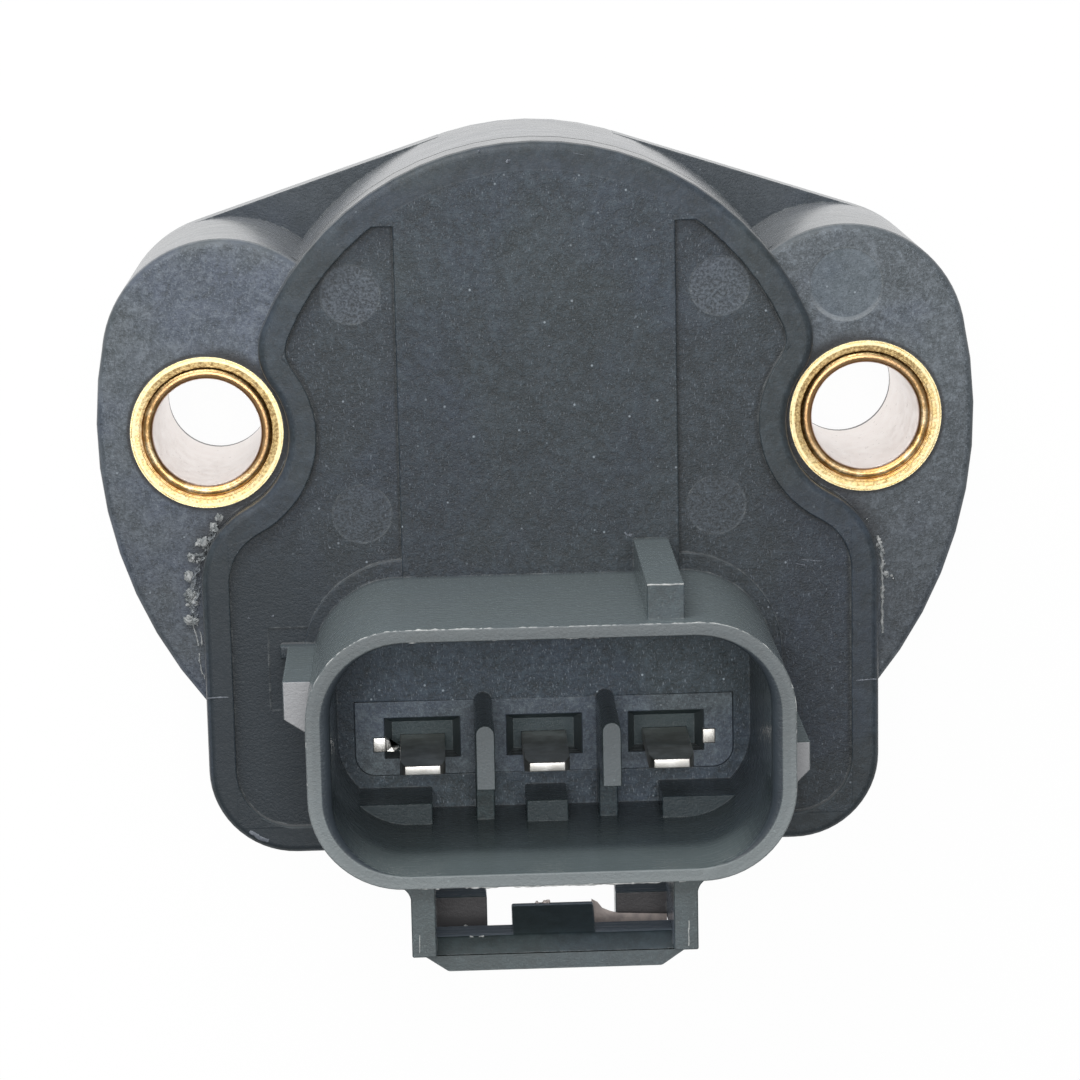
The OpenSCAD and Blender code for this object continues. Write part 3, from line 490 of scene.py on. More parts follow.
def turned_brass(name):
    """Brass with a bright outer edge, a mottled face painted browner on its upper side as painted shade, a
    dark groove, a coppery lip, turning marks and a pale bore whose colour is partly a painted reflection."""
    t = Tree(name)
    place = t.place()
    radius = t.reach(place, SLEEVE_X, 0, True)
    face = t.step(radius, SLEEVE_R - 0.62, SLEEVE_R - 0.52)
    stain = t.noise(place, 1.3, 4, 0.65)
    grain = t.noise(place, 6.5, 3, 0.6)
    t.colour = t.mix(face, (0.62, 0.38, 0.16), (0.84, 0.64, 0.3))
    t.tone((0.95, 0.82, 0.55), t.step(stain, 0.42, 0.66, 0, 0.6))
    t.tone((0.42, 0.24, 0.07), t.step(stain, 0.46, 0.3, 0, 0.6))
    t.tone((0.3, 0.18, 0.06), t.step(grain, 0.52, 0.36, 0, 0.55))
    t.tone((0.2, 0.1, 0.035), t.band(radius, BORE_R + 0.66, SLEEVE_R - 0.58, 0.07), 0.5)
    # Painted shade: the face's upper side is painted browner and darker, as if less light falls on it.
    out = t.math("SUBTRACT", t.math("ABSOLUTE", t.split(place, "X")), SLEEVE_X)
    away = t.math("SUBTRACT", t.times(t.split(place, "Y"), 0.8), t.times(out, 0.5))
    upper = t.step(away, -2.2, 1.6)
    t.tone((0.55, 0.33, 0.16), upper, t.step(radius, SLEEVE_R - 0.78, SLEEVE_R - 0.84), 0.85)
    brown = t.mix(t.step(grain, 0.4, 0.62), (0.2, 0.125, 0.05), (0.46, 0.34, 0.16))
    t.tone(brown, upper, t.band(radius, SLEEVE_R - 0.78, SLEEVE_R - 0.3, 0.06), 0.9)
    t.tone((0.25, 0.12, 0.04), t.band(radius, BORE_R + 0.02, BORE_R + 0.13, 0.03), 0.8)
    t.tone((0.92, 0.8, 0.5), t.step(radius, SLEEVE_R - 0.3, SLEEVE_R - 0.22), 0.6)
    # Bore: a pale plating colour, partly a painted reflection of the white floor, with darker spots and a
    # dark lower end.
    spots = t.step(t.noise(place, 3.2, 4, 0.7), 0.63, 0.7, 0, 0.6)
    bore = t.mix(spots, (0.93, 0.86, 0.82), (0.2, 0.15, 0.13))
    bore = t.mix(t.step(t.split(place, "Z"), 0.75, 0.6), bore, (0.09, 0.08, 0.08))
    t.tone(bore, t.step(radius, BORE_R + 0.08, BORE_R + 0.01))
    turning = t.times(radius, 14)
    rings = t.node("TexNoise", "Fac", {"noise_dimensions": "1D"}, W=turning, Scale=1.0, Detail=3.0)
    relief = t.math("ADD", t.times(rings, 0.5), t.times(grain, 0.8))
    roughness = t.math("ADD", t.step(stain, 0.3, 0.7, 0.3, 0.42), t.times(face, 0.08))
    return t.finish(t.colour, roughness, t.bump(relief, 0.4, 0.04), Metallic=1.0)


def plated_metal(name, base, dark, roughness=(0.22, 0.42), across=(0.4, 0.4, 4.2)):
    """Drawn or plated metal with fine lines along the drawing direction."""
    t = Tree(name)
    place = t.place()
    lines = t.noise(t.scaled(place, across), 1, 4, 0.6)
    stain = t.noise(place, 0.9, 4, 0.6)
    colour = t.mix(t.step(stain, 0.35, 0.7), dark, base)
    normal = t.bump(lines, 0.2, 0.02)
    return t.finish(colour, t.step(lines, 0.3, 0.7, *roughness), normal, Metallic=1.0)


def plain_plastic(name, base, dark, roughness=0.45, scale=0.7):
    """Plastic or print with soft blotches and a fine grain."""
    t = Tree(name)
    place = t.place()
    blotch = t.noise(place, scale, 5, 0.6)
    grain = t.noise(place, 5, 3, 0.6)
    colour = t.mix(t.step(blotch, 0.3, 0.7), dark, base)
    normal = t.bump(grain, 0.2, 0.02)
    return t.finish(colour, t.step(grain, 0.3, 0.7, roughness - 0.08, roughness + 0.08), normal)


def rubber(name):
    t = Tree(name)
    place = t.place()
    bloom = t.noise(place, 0.6, 5, 0.6)
    colour = t.mix(t.step(bloom, 0.45, 0.75), (0.012, 0.012, 0.013), (0.05, 0.05, 0.05))
    return t.finish(colour, t.step(bloom, 0.3, 0.7, 0.6, 0.8), t.bump(t.noise(place, 4, 3, 0.6), 0.25, 0.02))


def make_floor(half=600, level=-0.02, shown=0.97):
    """White floor that keeps the object's shadow: the camera sees mostly its glow, and mirrors see white."""
    mesh = bpy.data.meshes.new("floor")
    corners = [mm(x * half, y * half, level) for x, y in ((-1, -1), (1, -1), (1, 1), (-1, 1))]
    mesh.from_pydata(corners, [], [(0, 1, 2, 3)])
    floor = bpy.data.objects.new("floor", mesh)
    bpy.context.scene.collection.objects.link(floor)
    t = Tree("floor_white")
    tone = t.mix(t.noise(t.place(), 0.04, 2), (0.9, 0.9, 0.9), (0.92, 0.92, 0.92))
    t.finish(tone, 0.9, Specular_IOR_Level=0.1)
    glow = t.node("Emission", 0, None, Color=(1, 1, 1, 1), Strength=1.0)
    rays = t.nodes.new("ShaderNodeLightPath").outputs
    mirrored = t.math("MAXIMUM", rays["Is Glossy Ray"], rays["Is Transmission Ray"])
    seen = t.math("MAXIMUM", t.times(rays["Is Camera Ray"], shown), mirrored)
    both = t.node("MixShader", 0, None, i0=seen, i1=t.shader.outputs[0], i2=glow)
    t.put(t.nodes["Material Output"].inputs["Surface"], both)
    mesh.materials.append(t.material)


def make_world(strength=0.28):
    world = bpy.data.worlds.new("studio")
    bpy.context.scene.world = world
    world.use_nodes = True
    back = world.node_tree.nodes["Background"]
    back.inputs["Color"].default_value = (0.97, 0.98, 1, 1)
    back.inputs["Strength"].default_value = strength


class Fields:
    """Short calls for the fields of a geometry node group."""

    def __init__(self, name):
        self.group = bpy.data.node_groups.new(name, "GeometryNodeTree")
        for way in ("INPUT", "OUTPUT"):
            self.group.interface.new_socket("Geometry", in_out=way, socket_type="NodeSocketGeometry")
        split = self.add("ShaderNodeSeparateXYZ")
        self.link(self.add("GeometryNodeInputPosition").outputs[0], split.inputs[0])
        self.x, self.y, self.z = split.outputs

    def add(self, kind):
        return self.group.nodes.new(kind)

    def link(self, value, socket):
        self.group.links.new(value, socket)

    def calc(self, operation, *values):
        node = self.add("ShaderNodeMath")
        node.operation = operation
        for socket, value in zip(node.inputs, values):
            if isinstance(value, bpy.types.NodeSocket):
                self.link(value, socket)
            else:
                socket.default_value = value
        return node.outputs[0]

    def near(self, value, target, reach=0.05):
        away = self.calc("ABSOLUTE", self.calc("SUBTRACT", value, target * MM))
        return self.calc("LESS_THAN", away, reach * MM)

    def on_circle(self, x, y, radius):
        dx = self.calc("SUBTRACT", self.calc("ABSOLUTE", self.x), x * MM)
        dy = self.calc("SUBTRACT", self.y, y * MM)
        square = self.calc("ADD", self.calc("MULTIPLY", dx, dx), self.calc("MULTIPLY", dy, dy))
        return self.near(self.calc("SQRT", square), radius)

    def mouth_sides(self):
        """1 on the inner edges of the mouth's two short sides, and less along its rounded corners."""
        half_x = SHROUD_HALF[0] - SHROUD_WALLS[0]
        half_y = SHROUD_HALF[1] - SHROUD_WALLS[1]
        radius = SHROUD_INNER_R
        centre_x = half_x - radius
        x = self.calc("ABSOLUTE", self.x)
        turned = self.calc("DIVIDE", self.calc("SUBTRACT", x, centre_x * MM), radius * MM)
        turned = self.calc("MULTIPLY", turned, turned)
        beyond = self.calc("GREATER_THAN", x, centre_x * MM)
        found = self.near(x, half_x)
        for y in (SHROUD_Y + half_y - radius, SHROUD_Y - half_y + radius):
            arc = self.calc("MULTIPLY", self.on_circle(centre_x, y, radius), beyond)
            found = self.calc("MAXIMUM", found, self.calc("MULTIPLY", arc, turned))
        return found

    def edge_angle(self, which):
        return self.add("GeometryNodeInputMeshEdgeAngle").outputs[which]

    def through(self, node):
        """Puts the group's geometry through one node."""
        self.link(self.add("NodeGroupInput").outputs[0], node.inputs["Geometry"])
        self.link(node.outputs[0], self.add("NodeGroupOutput").inputs[0])
        return self.group


SHARP = math.radians(25)
CREASE = math.radians(40)


def edge_width_group(name, small, wide, rules, plain):
    """Gives each sharp convex edge its share of the wide bevel. A rule is (level, width, circles): it takes
    the edges at that level that top a tall wall, and only those on one of the circles, or on the mouth's
    inner sides, if they are named. Edges at the plain levels stay sharp."""
    f = Fields(name)
    face_z = f.add("GeometryNodeFieldOnDomain")
    face_z.domain, face_z.data_type = "FACE", "FLOAT"
    f.link(f.z, face_z.inputs[0])
    share = small / wide
    for level, width, circles in rules:
        drop = f.calc("ABSOLUTE", f.calc("SUBTRACT", face_z.outputs[0], level * MM))
        hit = f.calc("MULTIPLY", f.near(f.z, level, 0.02), f.calc("GREATER_THAN", drop, 0.5 * MM))
        if circles == "mouth":
            hit = f.calc("MULTIPLY", hit, f.mouth_sides())
        elif circles:
            found = f.on_circle(*circles[0])
            for circle in circles[1:]:
                found = f.calc("MAXIMUM", found, f.on_circle(*circle))
            hit = f.calc("MULTIPLY", hit, found)
        share = f.calc("ADD", share, f.calc("MULTIPLY", hit, (width - small) / wide))
    share = f.calc("MULTIPLY", f.calc("GREATER_THAN", f.edge_angle("Signed Angle"), SHARP), share)
    for level in plain:
        share = f.calc("MULTIPLY", share, f.calc("SUBTRACT", 1.0, f.near(f.z, level, 0.06)))
    store = f.add("GeometryNodeStoreNamedAttribute")
    store.domain, store.data_type = "EDGE", "FLOAT"
    store.inputs["Name"].default_value = "bevel_weight_edge"
    f.link(share, store.inputs["Value"])
    return f.through(store)


def crease_group():
    """Marks the edges that are still steep, so that only the rounded ones are shaded smoothly."""
    f = Fields("creases")
    smooth = f.add("GeometryNodeSetShadeSmooth")
    smooth.domain = "EDGE"
    smooth.inputs["Shade Smooth"].default_value = False
    steep = f.add("FunctionNodeCompare")
    steep.data_type, steep.operation = "FLOAT", "GREATER_THAN"
    f.link(f.edge_angle("Unsigned Angle"), steep.inputs[0])
    steep.inputs[1].default_value = CREASE
    f.link(steep.outputs[0], smooth.inputs["Selection"])
    return f.through(smooth)


creases = crease_group()


def soften(node, small, rules=(), plain=(), segments=3):
    """Rounds the sharp edges of a CAD node with modifiers only."""
    wide = max([small] + [rule[1] for rule in rules])
    piece = nodes[node]
    weld = piece.modifiers.new("weld", "WELD")
    weld.merge_threshold = 0.0005 * MM
    flat = piece.modifiers.new("flat", "DECIMATE")
    flat.decimate_type, flat.angle_limit = "DISSOLVE", math.radians(0.5)
    widths = piece.modifiers.new("widths", "NODES")
    widths.node_group = edge_width_group("edges_" + node, small, wide, rules, plain)
    bevel = piece.modifiers.new("bevel", "BEVEL")
    bevel.limit_method, bevel.offset_type = "WEIGHT", "OFFSET"
    bevel.width, bevel.segments = wide * MM, segments
    bevel.use_clamp_overlap = False
    sharp = piece.modifiers.new("creases", "NODES")
    sharp.node_group = creases
    even = piece.modifiers.new("even", "WEIGHTED_NORMAL")
    even.keep_sharp = True
    piece.data.shade_smooth()


def add_piece(name, bm, material, smooth=False, body="base"):
    mesh = bpy.data.meshes.new(name)
    for v in bm.verts:
        v.co *= MM
    for f in bm.faces:
        f.smooth = smooth
    bmesh.ops.recalc_face_normals(bm, faces=bm.faces)
    bm.to_mesh(mesh)
    bm.free()
    mesh.materials.append(material)
    piece = bpy.data.objects.new(name, mesh)
    bpy.context.scene.collection.objects.link(piece)
    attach(piece, body)
    return piece


def lump(bm, at, size, rough=0.45, flat=0.7, fine=2):
    """A crumb of plastic: a small ball with its points moved by noise."""
    made = bmesh.ops.create_icosphere(bm, subdivisions=fine, radius=1)["verts"]
    turn = Matrix.Rotation(rng.uniform(0, math.tau), 3, "Z")
    stretch = Vector((rng.uniform(0.7, 1.3), rng.uniform(0.7, 1.3), flat))
    seed = Vector((rng.uniform(0, 90), rng.uniform(0, 90), 0))
    for v in made:
        shift = 1 + rough * (noise.noise(v.co * 1.6 + seed) + 0.6 * noise.noise(v.co * 4 + seed))
        v.co = turn @ Vector(a * b for a, b in zip(v.co * shift, stretch)) * size + Vector(at)


def bridge(bm, first, second):
    """Faces between two closed rows of corners."""
    for k in range(len(first)):
        m = (k + 1) % len(first)
        bm.faces.new((first[k], first[m], second[m], second[k]))


def slab(bm, first, second):
    """A flat piece between two outlines."""
    first, second = ([bm.verts.new(p) for p in row] for row in (first, second))
    bm.faces.new(first)
    bm.faces.new(second[::-1])
    bridge(bm, first, second)


FLASH_STEP = 0.09


def resample(points, step):
    """Evenly spaced points along a polyline."""
    points = [Vector(p) for p in points]
    way, left = [points[0].copy()], step
    for a, b in zip(points, points[1:]):
        length = (b - a).length
        at = left
        while at <= length:
            way.append(a.lerp(b, at / length))
            at += step
        left = at - length
    return way


def ridge(bm, points, width, height, gaps=-1.0, step=FLASH_STEP, sides=6, wander=0.35):
    """A raised line whose width, height and course wander. It breaks off where its noise is under gaps."""
    seed = rng.uniform(0, 100)
    way = resample(points, step)
    run = []

    def close():
        if len(run) > 2:
            rings = [[bm.verts.new(p) for p in ring] for ring in run]
            for a, b in zip(rings, rings[1:]):
                bridge(bm, a, b)
            bm.faces.new(rings[0])
            bm.faces.new(rings[-1][::-1])
        run.clear()

    for i, p in enumerate(way):
        broad = noise.noise(Vector((i * step * 0.9, seed, 0)))
        if broad < gaps:
            close()
            continue
        quick = noise.noise(Vector((i * step * 4.5, 0, seed)))
        ahead = (way[min(i + 1, len(way) - 1)] - way[max(i - 1, 0)]).normalized()
        side = ahead.cross(Vector((0, 0, 1))).normalized()
        size = max(0.18, 0.65 + 0.9 * (broad - max(gaps, -0.5)) * 0.6 + 0.7 * quick)
        centre = p + side * width * wander * noise.noise(Vector((i * step * 2.2, seed, 5)))
        turns = [math.tau * k / sides for k in range(sides)]
        ring = [side * width / 2 * math.cos(a) + Vector((0, 0, height * math.sin(a))) for a in turns]
        run.append([centre + size * p for p in ring])
    close()


def joint_line(side, run):
    """Point and outward normal where the cover's wall meets the ear, run millimetres along the wall from
    the waist's middle towards the connector."""
    cx, cy = CORNER_AT
    meet = math.atan2(cy, cx - SLEEVE_X)
    waist = WAIST_R * (math.pi + meet)
    bend = CORNER_R * (math.pi + meet)
    if run < waist:
        a = math.pi + run / WAIST_R
        p = Vector((SLEEVE_X + WAIST_R * math.cos(a), WAIST_R * math.sin(a), 0))
        n = Vector((math.cos(a), math.sin(a), 0)) * -1
    elif run < waist + bend:
        a = math.pi + meet - (run - waist) / CORNER_R
        p = Vector((cx + CORNER_R * math.cos(a), cy + CORNER_R * math.sin(a), 0))
        n = Vector((math.cos(a), math.sin(a), 0))
    else:
        p = Vector((BODY_SIDE, cy - (run - waist - bend), 0))
        n = Vector((1, 0, 0))
    p.x, n.x = side * p.x, side * n.x
    return p, n


def mouth_line(inset, level):
    """Closed line round the shroud's mouth, inset from its outer edge, from the middle of the upper side."""
    r = SHROUD_R - inset
    hx, hy = SHROUD_HALF[0] - SHROUD_R, SHROUD_HALF[1] - SHROUD_R
    line = [Vector((0, SHROUD_Y + hy + r, level))]
    for cx, cy, start in ((hx, hy, 90), (hx, -hy, 0), (-hx, -hy, -90), (-hx, hy, -180)):
        for k in range(13):
            a = math.radians(start - 90 * k / 12)
            line.append(Vector((cx + r * math.cos(a), SHROUD_Y + cy + r * math.sin(a), level)))
    line.append(line[0].copy())
    return line


def weld_ribbon(bm, points, broad, thick):
    """A rough band of flash on the ear along a line of points."""
    way = resample(points, FLASH_STEP)
    steps = len(way) - 1
    across = 9
    seed = rng.uniform(0, 100)
    rows = []
    for i, p in enumerate(way):
        run = i * FLASH_STEP
        ahead = (way[min(i + 1, steps)] - way[max(i - 1, 0)]).normalized()
        n = ahead.cross(Vector((0, 0, 1)))
        fade = min(1, (run + 0.05) / 0.7, ((steps - i) * FLASH_STEP + 0.05) / 0.7)
        spread = 0.8 + noise.noise(Vector((run * 0.9, seed, 0)))
        spread += 0.6 * noise.noise(Vector((run * 3.5, seed, 3)))
        wide = broad * max(0.12, fade * spread)
        row = []
        for k in range(across + 1):
            u = k / across
            bulge = math.sqrt(max(0, 1 - (2 * u - 0.9) ** 2 / 1.3))
            rough = noise.noise(Vector((run * 3.2, u * 3, seed)))
            rough += 0.6 * noise.noise(Vector((run * 8, u * 7, seed)))
            z = EAR_Z - 0.05 + thick * fade * max(0, bulge * (0.75 + 0.9 * rough))
            at = p + n * (u - 0.5) * wide
            row.append(Vector((at.x, at.y, z if 0 < k < across else EAR_Z - 0.06)))
        rows.append(row)
    top = [[bm.verts.new(p) for p in row] for row in rows]
    low = [[bm.verts.new((p.x, p.y, EAR_Z - 0.1)) for p in row] for row in rows]
    for i in range(steps):
        for k in range(across):
            bm.faces.new((top[i][k], top[i][k + 1], top[i + 1][k + 1], top[i + 1][k]))
            bm.faces.new((low[i][k], low[i + 1][k], low[i + 1][k + 1], low[i][k + 1]))
        bm.faces.new((top[i][0], top[i + 1][0], low[i + 1][0], low[i][0]))
        bm.faces.new((top[i][-1], low[i][-1], low[i + 1][-1], top[i + 1][-1]))
    for i, order in ((0, 1), (-1, -1)):
        loop = top[i] + low[i][::-1]
        bm.faces.new(loop[::order])


# The left ear's weld flash as a line, its clumps as (x, y, reach) and its strings as (points, width, height,
# gaps), and the right ear's beads as (x, y, size)
RIBBON = (
    (-18.35, -5.26, 0), (-18.77, -5.84, 0), (-19.25, -6.73, 0), (-19.68, -7.53, 0),
    (-19.96, -8.34, 0), (-20.09, -9.43, 0), (-20.17, -10.34, 0), (-20.16, -11.16, 0),
)
CLUMPS = (
    (-18.47, -4.94, 0.1), (-18.76, -5.57, 0.2), (-19.5, -6.45, 0.3), (-20.05, -7.3, 0.36),
    (-20.38, -8.37, 0.16), (-20.36, -9.45, 0.36), (-20.3, -9.8, 0.36), (-20.44, -11.01, 0.24),
    (-20.15, -11.0, 0.2),
)
BEADS = (
    (19.07, -6.1, 0.05), (19.2, -6.87, 0.07), (19.78, -7.34, 0.13), (19.67, -7.66, 0.1),
    (19.96, -7.99, 0.11), (20.0, -8.62, 0.12), (20.16, -9.38, 0.17), (20.5, -9.51, 0.08),
    (19.96, -10.2, 0.1), (19.94, -10.65, 0.11),
)
STRINGS = (
    ([(-20.31, -11.16), (-20.1, -11.8), (-19.97, -12.54), (-19.96, -13.45), (-19.8, -14.3)],
     0.14, 0.09, -0.35),
    ([(-20.05, -11.2), (-19.82, -11.9), (-19.76, -12.6)], 0.1, 0.07, -0.2),
    ([(-19.75, -13.4), (-19.72, -14.4), (-19.66, -15.3)], 0.1, 0.05, -0.1),
)


def weld_flash():
    bm = bmesh.new()
    weld_ribbon(bm, RIBBON, 0.85, 0.4)
    add_piece("weld_ribbon", bm, flash)
    bm = bmesh.new()
    for x, y, reach in CLUMPS:
        for _ in range(12):
            a, off = rng.uniform(0, math.tau), reach * math.sqrt(rng.uniform(0, 1))
            size = rng.uniform(0.08, 0.2) * (1.25 - 0.5 * off / reach)
            z = EAR_Z + 0.1 + size * 0.4 + rng.uniform(0, 0.12)
            lump(bm, (x + off * math.cos(a), y + off * math.sin(a), z), size, 0.75, 0.8)
    add_piece("weld_crumbs", bm, crumb)
    bm = bmesh.new()
    z = EAR_Z + 0.02
    for points, width, height, gaps in STRINGS:
        ridge(bm, [(x, y, z) for x, y in points], width, height, gaps)
    line = [joint_line(1, 9.2 + 0.25 * i) for i in range(24)]
    ridge(bm, [p + n * 0.4 + Vector((0, 0, z)) for p, n in line], 0.2, 0.1, -0.35)
    for x, y, size in BEADS:
        lump(bm, (x, y, EAR_Z + size * 0.4), size, 0.6, 0.7)
        lump(bm, (x + 0.1, y - 0.16, EAR_Z + 0.02), size * 0.6, 0.5, 0.7)
    add_piece("weld_strings", bm, crumb)


def sleeve_edges():
    """Finely serrated outer edge on the top of each sleeve."""
    teeth, inner, outer = 150, SLEEVE_R - 0.13, SLEEVE_R - 0.01
    for name, x in (("left", -SLEEVE_X), ("right", SLEEVE_X)):
        bm = bmesh.new()
        rings = []
        for i in range(teeth * 2):
            a = math.tau * i / (teeth * 2)
            tooth = (i % 2) * 0.035 * (0.6 + 0.8 * rng.random())
            rise = 0.022 + 0.018 * noise.noise(Vector((math.cos(a) * 5, math.sin(a) * 5, x)))
            way = Vector((math.cos(a), math.sin(a), 0))
            rings.append([
                Vector((x, 0, SLEEVE_TOP - 0.03)) + way * inner,
                Vector((x, 0, SLEEVE_TOP + rise)) + way * (inner + 0.04),
                Vector((x, 0, SLEEVE_TOP + rise)) + way * (outer - 0.02 - tooth),
                Vector((x, 0, SLEEVE_TOP - 0.03)) + way * (outer - tooth),
            ])
        loops = [[bm.verts.new(p) for p in ring] for ring in rings]
        for a, b in zip(loops, loops[1:] + loops[:1]):
            bridge(bm, a, b)
        add_piece("sleeve_edge_" + name, bm, bright_brass)


# Marks on the cover: raised lines as (points, width, height, gaps), and specks as (x, y, z, size)
SCRATCHES = (
    ([(-19.5, -15.25, RIM_Z), (-18.2, -15.22, RIM_Z)], 0.07, 0.02, -1),
    ([(18.2, -15.27, RIM_Z), (19.45, -15.22, RIM_Z)], 0.07, 0.02, -1),
    ([(-17.3, -23.3, RIM_Z), (-16.8, -23.75, RIM_Z), (-16.2, -23.92, RIM_Z)], 0.26, 0.03, -1),
    ([(14.72, -8.34, FIELD_Z), (15.6, -8.5, FIELD_Z), (16.4, -8.6, FIELD_Z)], 0.06, 0.015, 0.05),
    ([(15.1, -8.1, FIELD_Z), (16.3, -8.25, FIELD_Z)], 0.04, 0.012, 0),
    ([(7.95, -7.7, FIELD_Z), (8.6, -8.0, FIELD_Z), (9.4, -8.45, FIELD_Z)], 0.25, 0.03, -0.2),
    ([(2.28, 15.74, RIM_Z), (3.4, 15.48, RIM_Z)], 0.04, 0.012, -0.3),
    ([(4.85, -6.1, RIM_Z), (5.0, -6.3, RIM_Z), (5.3, -6.25, RIM_Z)], 0.09, 0.03, -1),
)
DUST = (
    (-1.39, 15.37, RIM_Z, 0.1), (0.71, 4.82, RIM_Z, 0.07), (14.96, 4.97, FIELD_Z, 0.08),
    (-3.0, 15.97, RIM_Z, 0.06), (5.6, 15.43, RIM_Z, 0.05), (2.16, 12.64, RIM_Z, 0.05),
    (5.55, 12.5, RIM_Z, 0.05), (-16.92, -10.68, FIELD_Z, 0.06), (-15.53, -10.6, FIELD_Z, 0.07),
    (5.15, -6.28, RIM_Z, 0.1), (-12.6, -10.3, FIELD_Z, 0.07),
)


def cover_marks():
    bm = bmesh.new()
    for points, width, height, gaps in SCRATCHES:
        ridge(bm, points, width, height, gaps, 0.06)
    for x, y, z, size in DUST:
        lump(bm, (x, y, z + size * 0.2), size, 0.5, 0.5)
    for _ in range(14):
        at = (rng.uniform(8.1, 9.6), rng.uniform(-8.5, -7.6), FIELD_Z)
        lump(bm, at, rng.uniform(0.03, 0.08), 0.5, 0.4)
    add_piece("cover_marks", bm, faint)


def shroud_wear():
    """Broken pale burrs along the mouth's edges, the upper key, the latch legs and the bar."""
    bm = bmesh.new()
    z = MOUTH_Z - 0.045
    top_y = SHROUD_Y + SHROUD_HALF[1]
    low_y = SHROUD_Y - SHROUD_HALF[1]
    outer = mouth_line(0.05, z)
    upper = [p for p in outer if p.y > top_y - 4]
    ridge(bm, upper[:len(upper) // 2], 0.1, 0.026, -0.2)
    ridge(bm, upper[len(upper) // 2:], 0.1, 0.026, -0.2)
    ridge(bm, outer, 0.06, 0.024, 0.0)
    ridge(bm, [(-7.6, top_y - 0.07, z), (-3.6, top_y - 0.07, z)], 0.17, 0.028, -0.3)
    ridge(bm, [(8.4, top_y - 0.1, z), (10.6, top_y - 0.9, z), (11.9, top_y - 2, z)], 0.09, 0.026, -0.3)
    ridge(bm, [(-6.5, low_y + 0.03, z), (7.2, low_y + 0.03, z)], 0.13, 0.032, -0.35)
    ridge(bm, [(-1.5, low_y + 0.01, z - 0.03), (4.2, low_y + 0.01, z - 0.03)], 0.12, 0.03, -0.3)
    ridge(bm, [(-7.6, top_y - 0.7, z), (9.2, top_y - 0.7, z)], 0.07, 0.026, 0.12)
    key_z = MOUTH_Z - 1.03
    ridge(bm, [(5.36, -6.52, key_z), (7.36, -6.52, key_z)], 0.09, 0.04, -0.4)
    leg_z = MOUTH_Z - 0.6
    ridge(bm, [(-7.46, -25.8, leg_z), (-7.49, -26.86, leg_z)], 0.06, 0.03, -0.5)
    ridge(bm, [(7.37, -25.4, leg_z), (7.35, -26.92, leg_z)], 0.07, 0.035, -0.5)
    bar_z = MOUTH_Z - 2.4
    ridge(bm, [(-4.7, -26.52, bar_z), (-4.3, -26.62, bar_z), (-3.9, -26.52, bar_z)], 0.1, 0.05, -1)
    for _ in range(9):
        at = (rng.uniform(-5.0, -4.0), rng.uniform(-26.75, -26.5), MOUTH_Z - 4.3)
        lump(bm, at, rng.uniform(0.04, 0.09), 0.5, 0.7)
    add_piece("shroud_burrs", bm, pale)


def latch_flash():
    """Thin leftover skin between the latch ramp and the right ledge, and a flake on the ramp's upper edge."""
    bm = bmesh.new()
    z, thick = MOUTH_Z - 6.2, 0.04
    outline = (
        (2.25, -25.75), (2.6, -25.95), (2.85, -26.3), (3.3, -26.5), (3.75, -26.62), (6.5, -26.75),
        (6.5, -27.3), (2.25, -27.3),
    )
    low = [(x, y, z) for x, y in outline]
    high = [(x + 0.05 * noise.noise(Vector((x, y, 0))), y, z + thick) for x, y in outline]
    slab(bm, low, high)
    ramp_z = MOUTH_Z - 5.4
    for x in (-0.85, -0.7, -0.55, -0.4, -0.25):
        lump(bm, (x, -25.68 + rng.uniform(-0.05, 0.1), ramp_z), rng.uniform(0.08, 0.14), 0.6, 0.6)
    add_piece("latch_flash", bm, film)


# Outline of the scrap beside the left stub, with each point's height over the scrap's lowest corner
SHARD = (
    (-9.24, -18.02, 0.14), (-9.05, -18.1, 0.1), (-8.9, -18.56, 0.02), (-8.48, -18.52, 0.12),
    (-8.52, -18.74, 0), (-8.78, -18.78, 0.05), (-9.18, -18.76, 0.08),
)


def stub_shard():
    """Bright torn scrap of metal between the left stub and its blade."""
    bm = bmesh.new()
    tops = [(x, y, SOCKET_Z + 0.1 + rise) for x, y, rise in SHARD]
    feet = [(x, y, SOCKET_Z - 0.3) for x, y, rise in SHARD]
    slab(bm, tops, feet)
    bmesh.ops.triangulate(bm, faces=[f for f in bm.faces if len(f.verts) > 4])
    add_piece("stub_shard", bm, tin)


def wound_spring():
    """The return spring again, as its own copy with its place baked in, while the original is hidden."""
    source = nodes["return_spring"]
    mesh = source.data.copy()
    mesh.transform(source.matrix_world)
    piece = bpy.data.objects.new("wound_spring", mesh)
    bpy.context.scene.collection.objects.link(piece)
    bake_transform(piece)
    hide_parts("return_spring")


bpy.context.scene.view_settings.view_transform = "Standard"
make_camera()
make_world()
make_floor()
soft_light("front", (-12, 62, 430), (180, 180), 1.0)
soft_light("upper", (-90, 310, 180), (320, 200), 1.35)

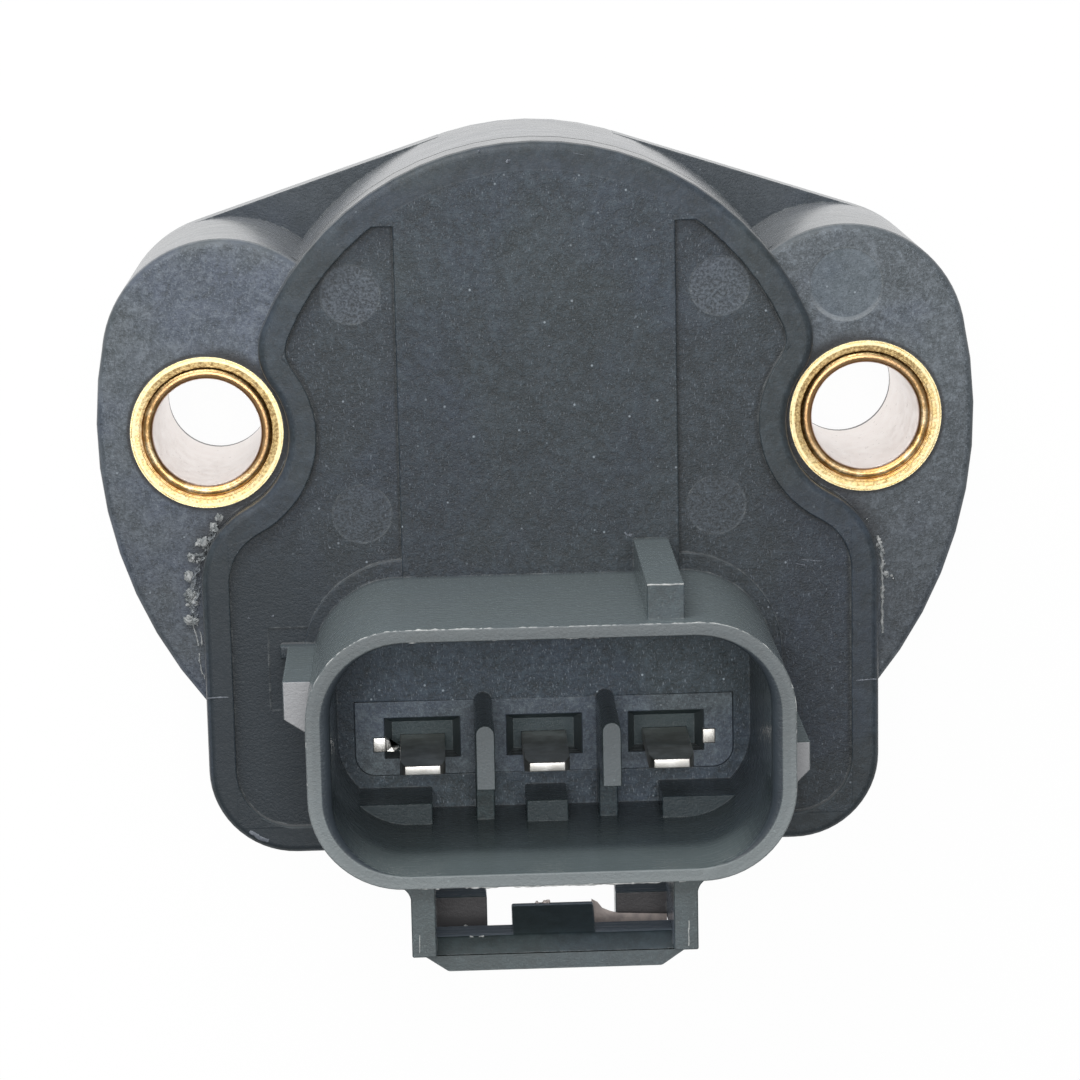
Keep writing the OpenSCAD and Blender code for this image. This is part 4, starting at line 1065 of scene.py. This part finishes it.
slate = moulded_plastic("housing_slate", (0.061, 0.074, 0.083), (0.098, 0.113, 0.128))
cover = moulded_plastic("cover_slate", (0.0175, 0.025, 0.029), (0.033, 0.044, 0.053), 0.42, 0.3, cover=True)
dark_block = moulded_plastic("block_slate", (0.066, 0.085, 0.1), (0.105, 0.13, 0.145), 0.3, 0, block=True)
flash = moulded_plastic("flash_slate", (0.09, 0.1, 0.105), (0.15, 0.165, 0.17), 0.9)
pale = plain_plastic("worn_plastic", (0.46, 0.47, 0.46), (0.26, 0.275, 0.275), 0.5, 2.5)
crumb = plain_plastic("weld_plastic", (0.34, 0.35, 0.35), (0.13, 0.145, 0.15), 0.6, 2.5)
faint = plain_plastic("scratched_plastic", (0.15, 0.165, 0.19), (0.07, 0.08, 0.1), 0.5, 3)
film = plain_plastic("thin_flash", (0.5, 0.43, 0.4), (0.3, 0.26, 0.25), 0.4, 1.5)
brass = turned_brass("sleeve_brass")
bright_brass = plated_metal("sleeve_edge_brass", (0.98, 0.85, 0.5), (0.8, 0.58, 0.24), (0.22, 0.4), (2, 2, 2))
tin = plated_metal("terminal_tin", (0.86, 0.85, 0.82), (0.62, 0.6, 0.56), (0.34, 0.52))
bronze = plated_metal("contact_bronze", (0.78, 0.52, 0.26), (0.55, 0.33, 0.15))
steel = plated_metal("spring_steel", (0.58, 0.59, 0.6), (0.4, 0.41, 0.42))
silver = plated_metal("silver_print", (0.74, 0.74, 0.71), (0.6, 0.6, 0.57), (0.5, 0.65))
carbon = plain_plastic("carbon_print", (0.03, 0.03, 0.032), (0.014, 0.014, 0.015), 0.6)
laminate = plain_plastic("board_laminate", (0.62, 0.55, 0.38), (0.52, 0.45, 0.3), 0.5)
acetal = plain_plastic("rotor_acetal", (0.78, 0.74, 0.63), (0.7, 0.65, 0.53), 0.4)
black_rubber = rubber("seal_rubber")

FINISH = {
    "housing": slate, "front_cover": cover, "terminal_block": dark_block,
    "sleeve_left": brass, "sleeve_right": brass,
    "terminal_left": tin, "terminal_middle": tin, "terminal_right": tin,
    "contact_clip_left": bronze, "contact_clip_middle": bronze, "contact_clip_right": bronze,
    "wiper": bronze, "drive_clip": steel, "return_spring": steel, "wave_washer": steel,
    "resistor_board": laminate, "resistor_track": carbon, "conductor_pattern": silver,
    "rotor": acetal, "shaft_seal": black_rubber, "mounting_seal": black_rubber,
}
for name, material in FINISH.items():
    mesh = nodes[name].data
    mesh.materials.clear()
    mesh.materials.append(material)

soften("front_cover", 0.1, [(RIM_Z, 0.5, []), (MOUTH_Z, MOUTH_LEAD, "mouth")], [FIELD_Z, BAR_Z])
soften("housing", 0.0, [(EAR_Z, 0.5, [EAR_SWEEP, EAR_TIP]), (WELD_Z, 0.15, []), (0, 0.12, [])])
soften("terminal_block", 0.05)
for side in ("left", "middle", "right"):
    soften("terminal_" + side, 0.05)

weld_flash()
sleeve_edges()
cover_marks()
shroud_wear()
latch_flash()
stub_shard()
wound_spring()
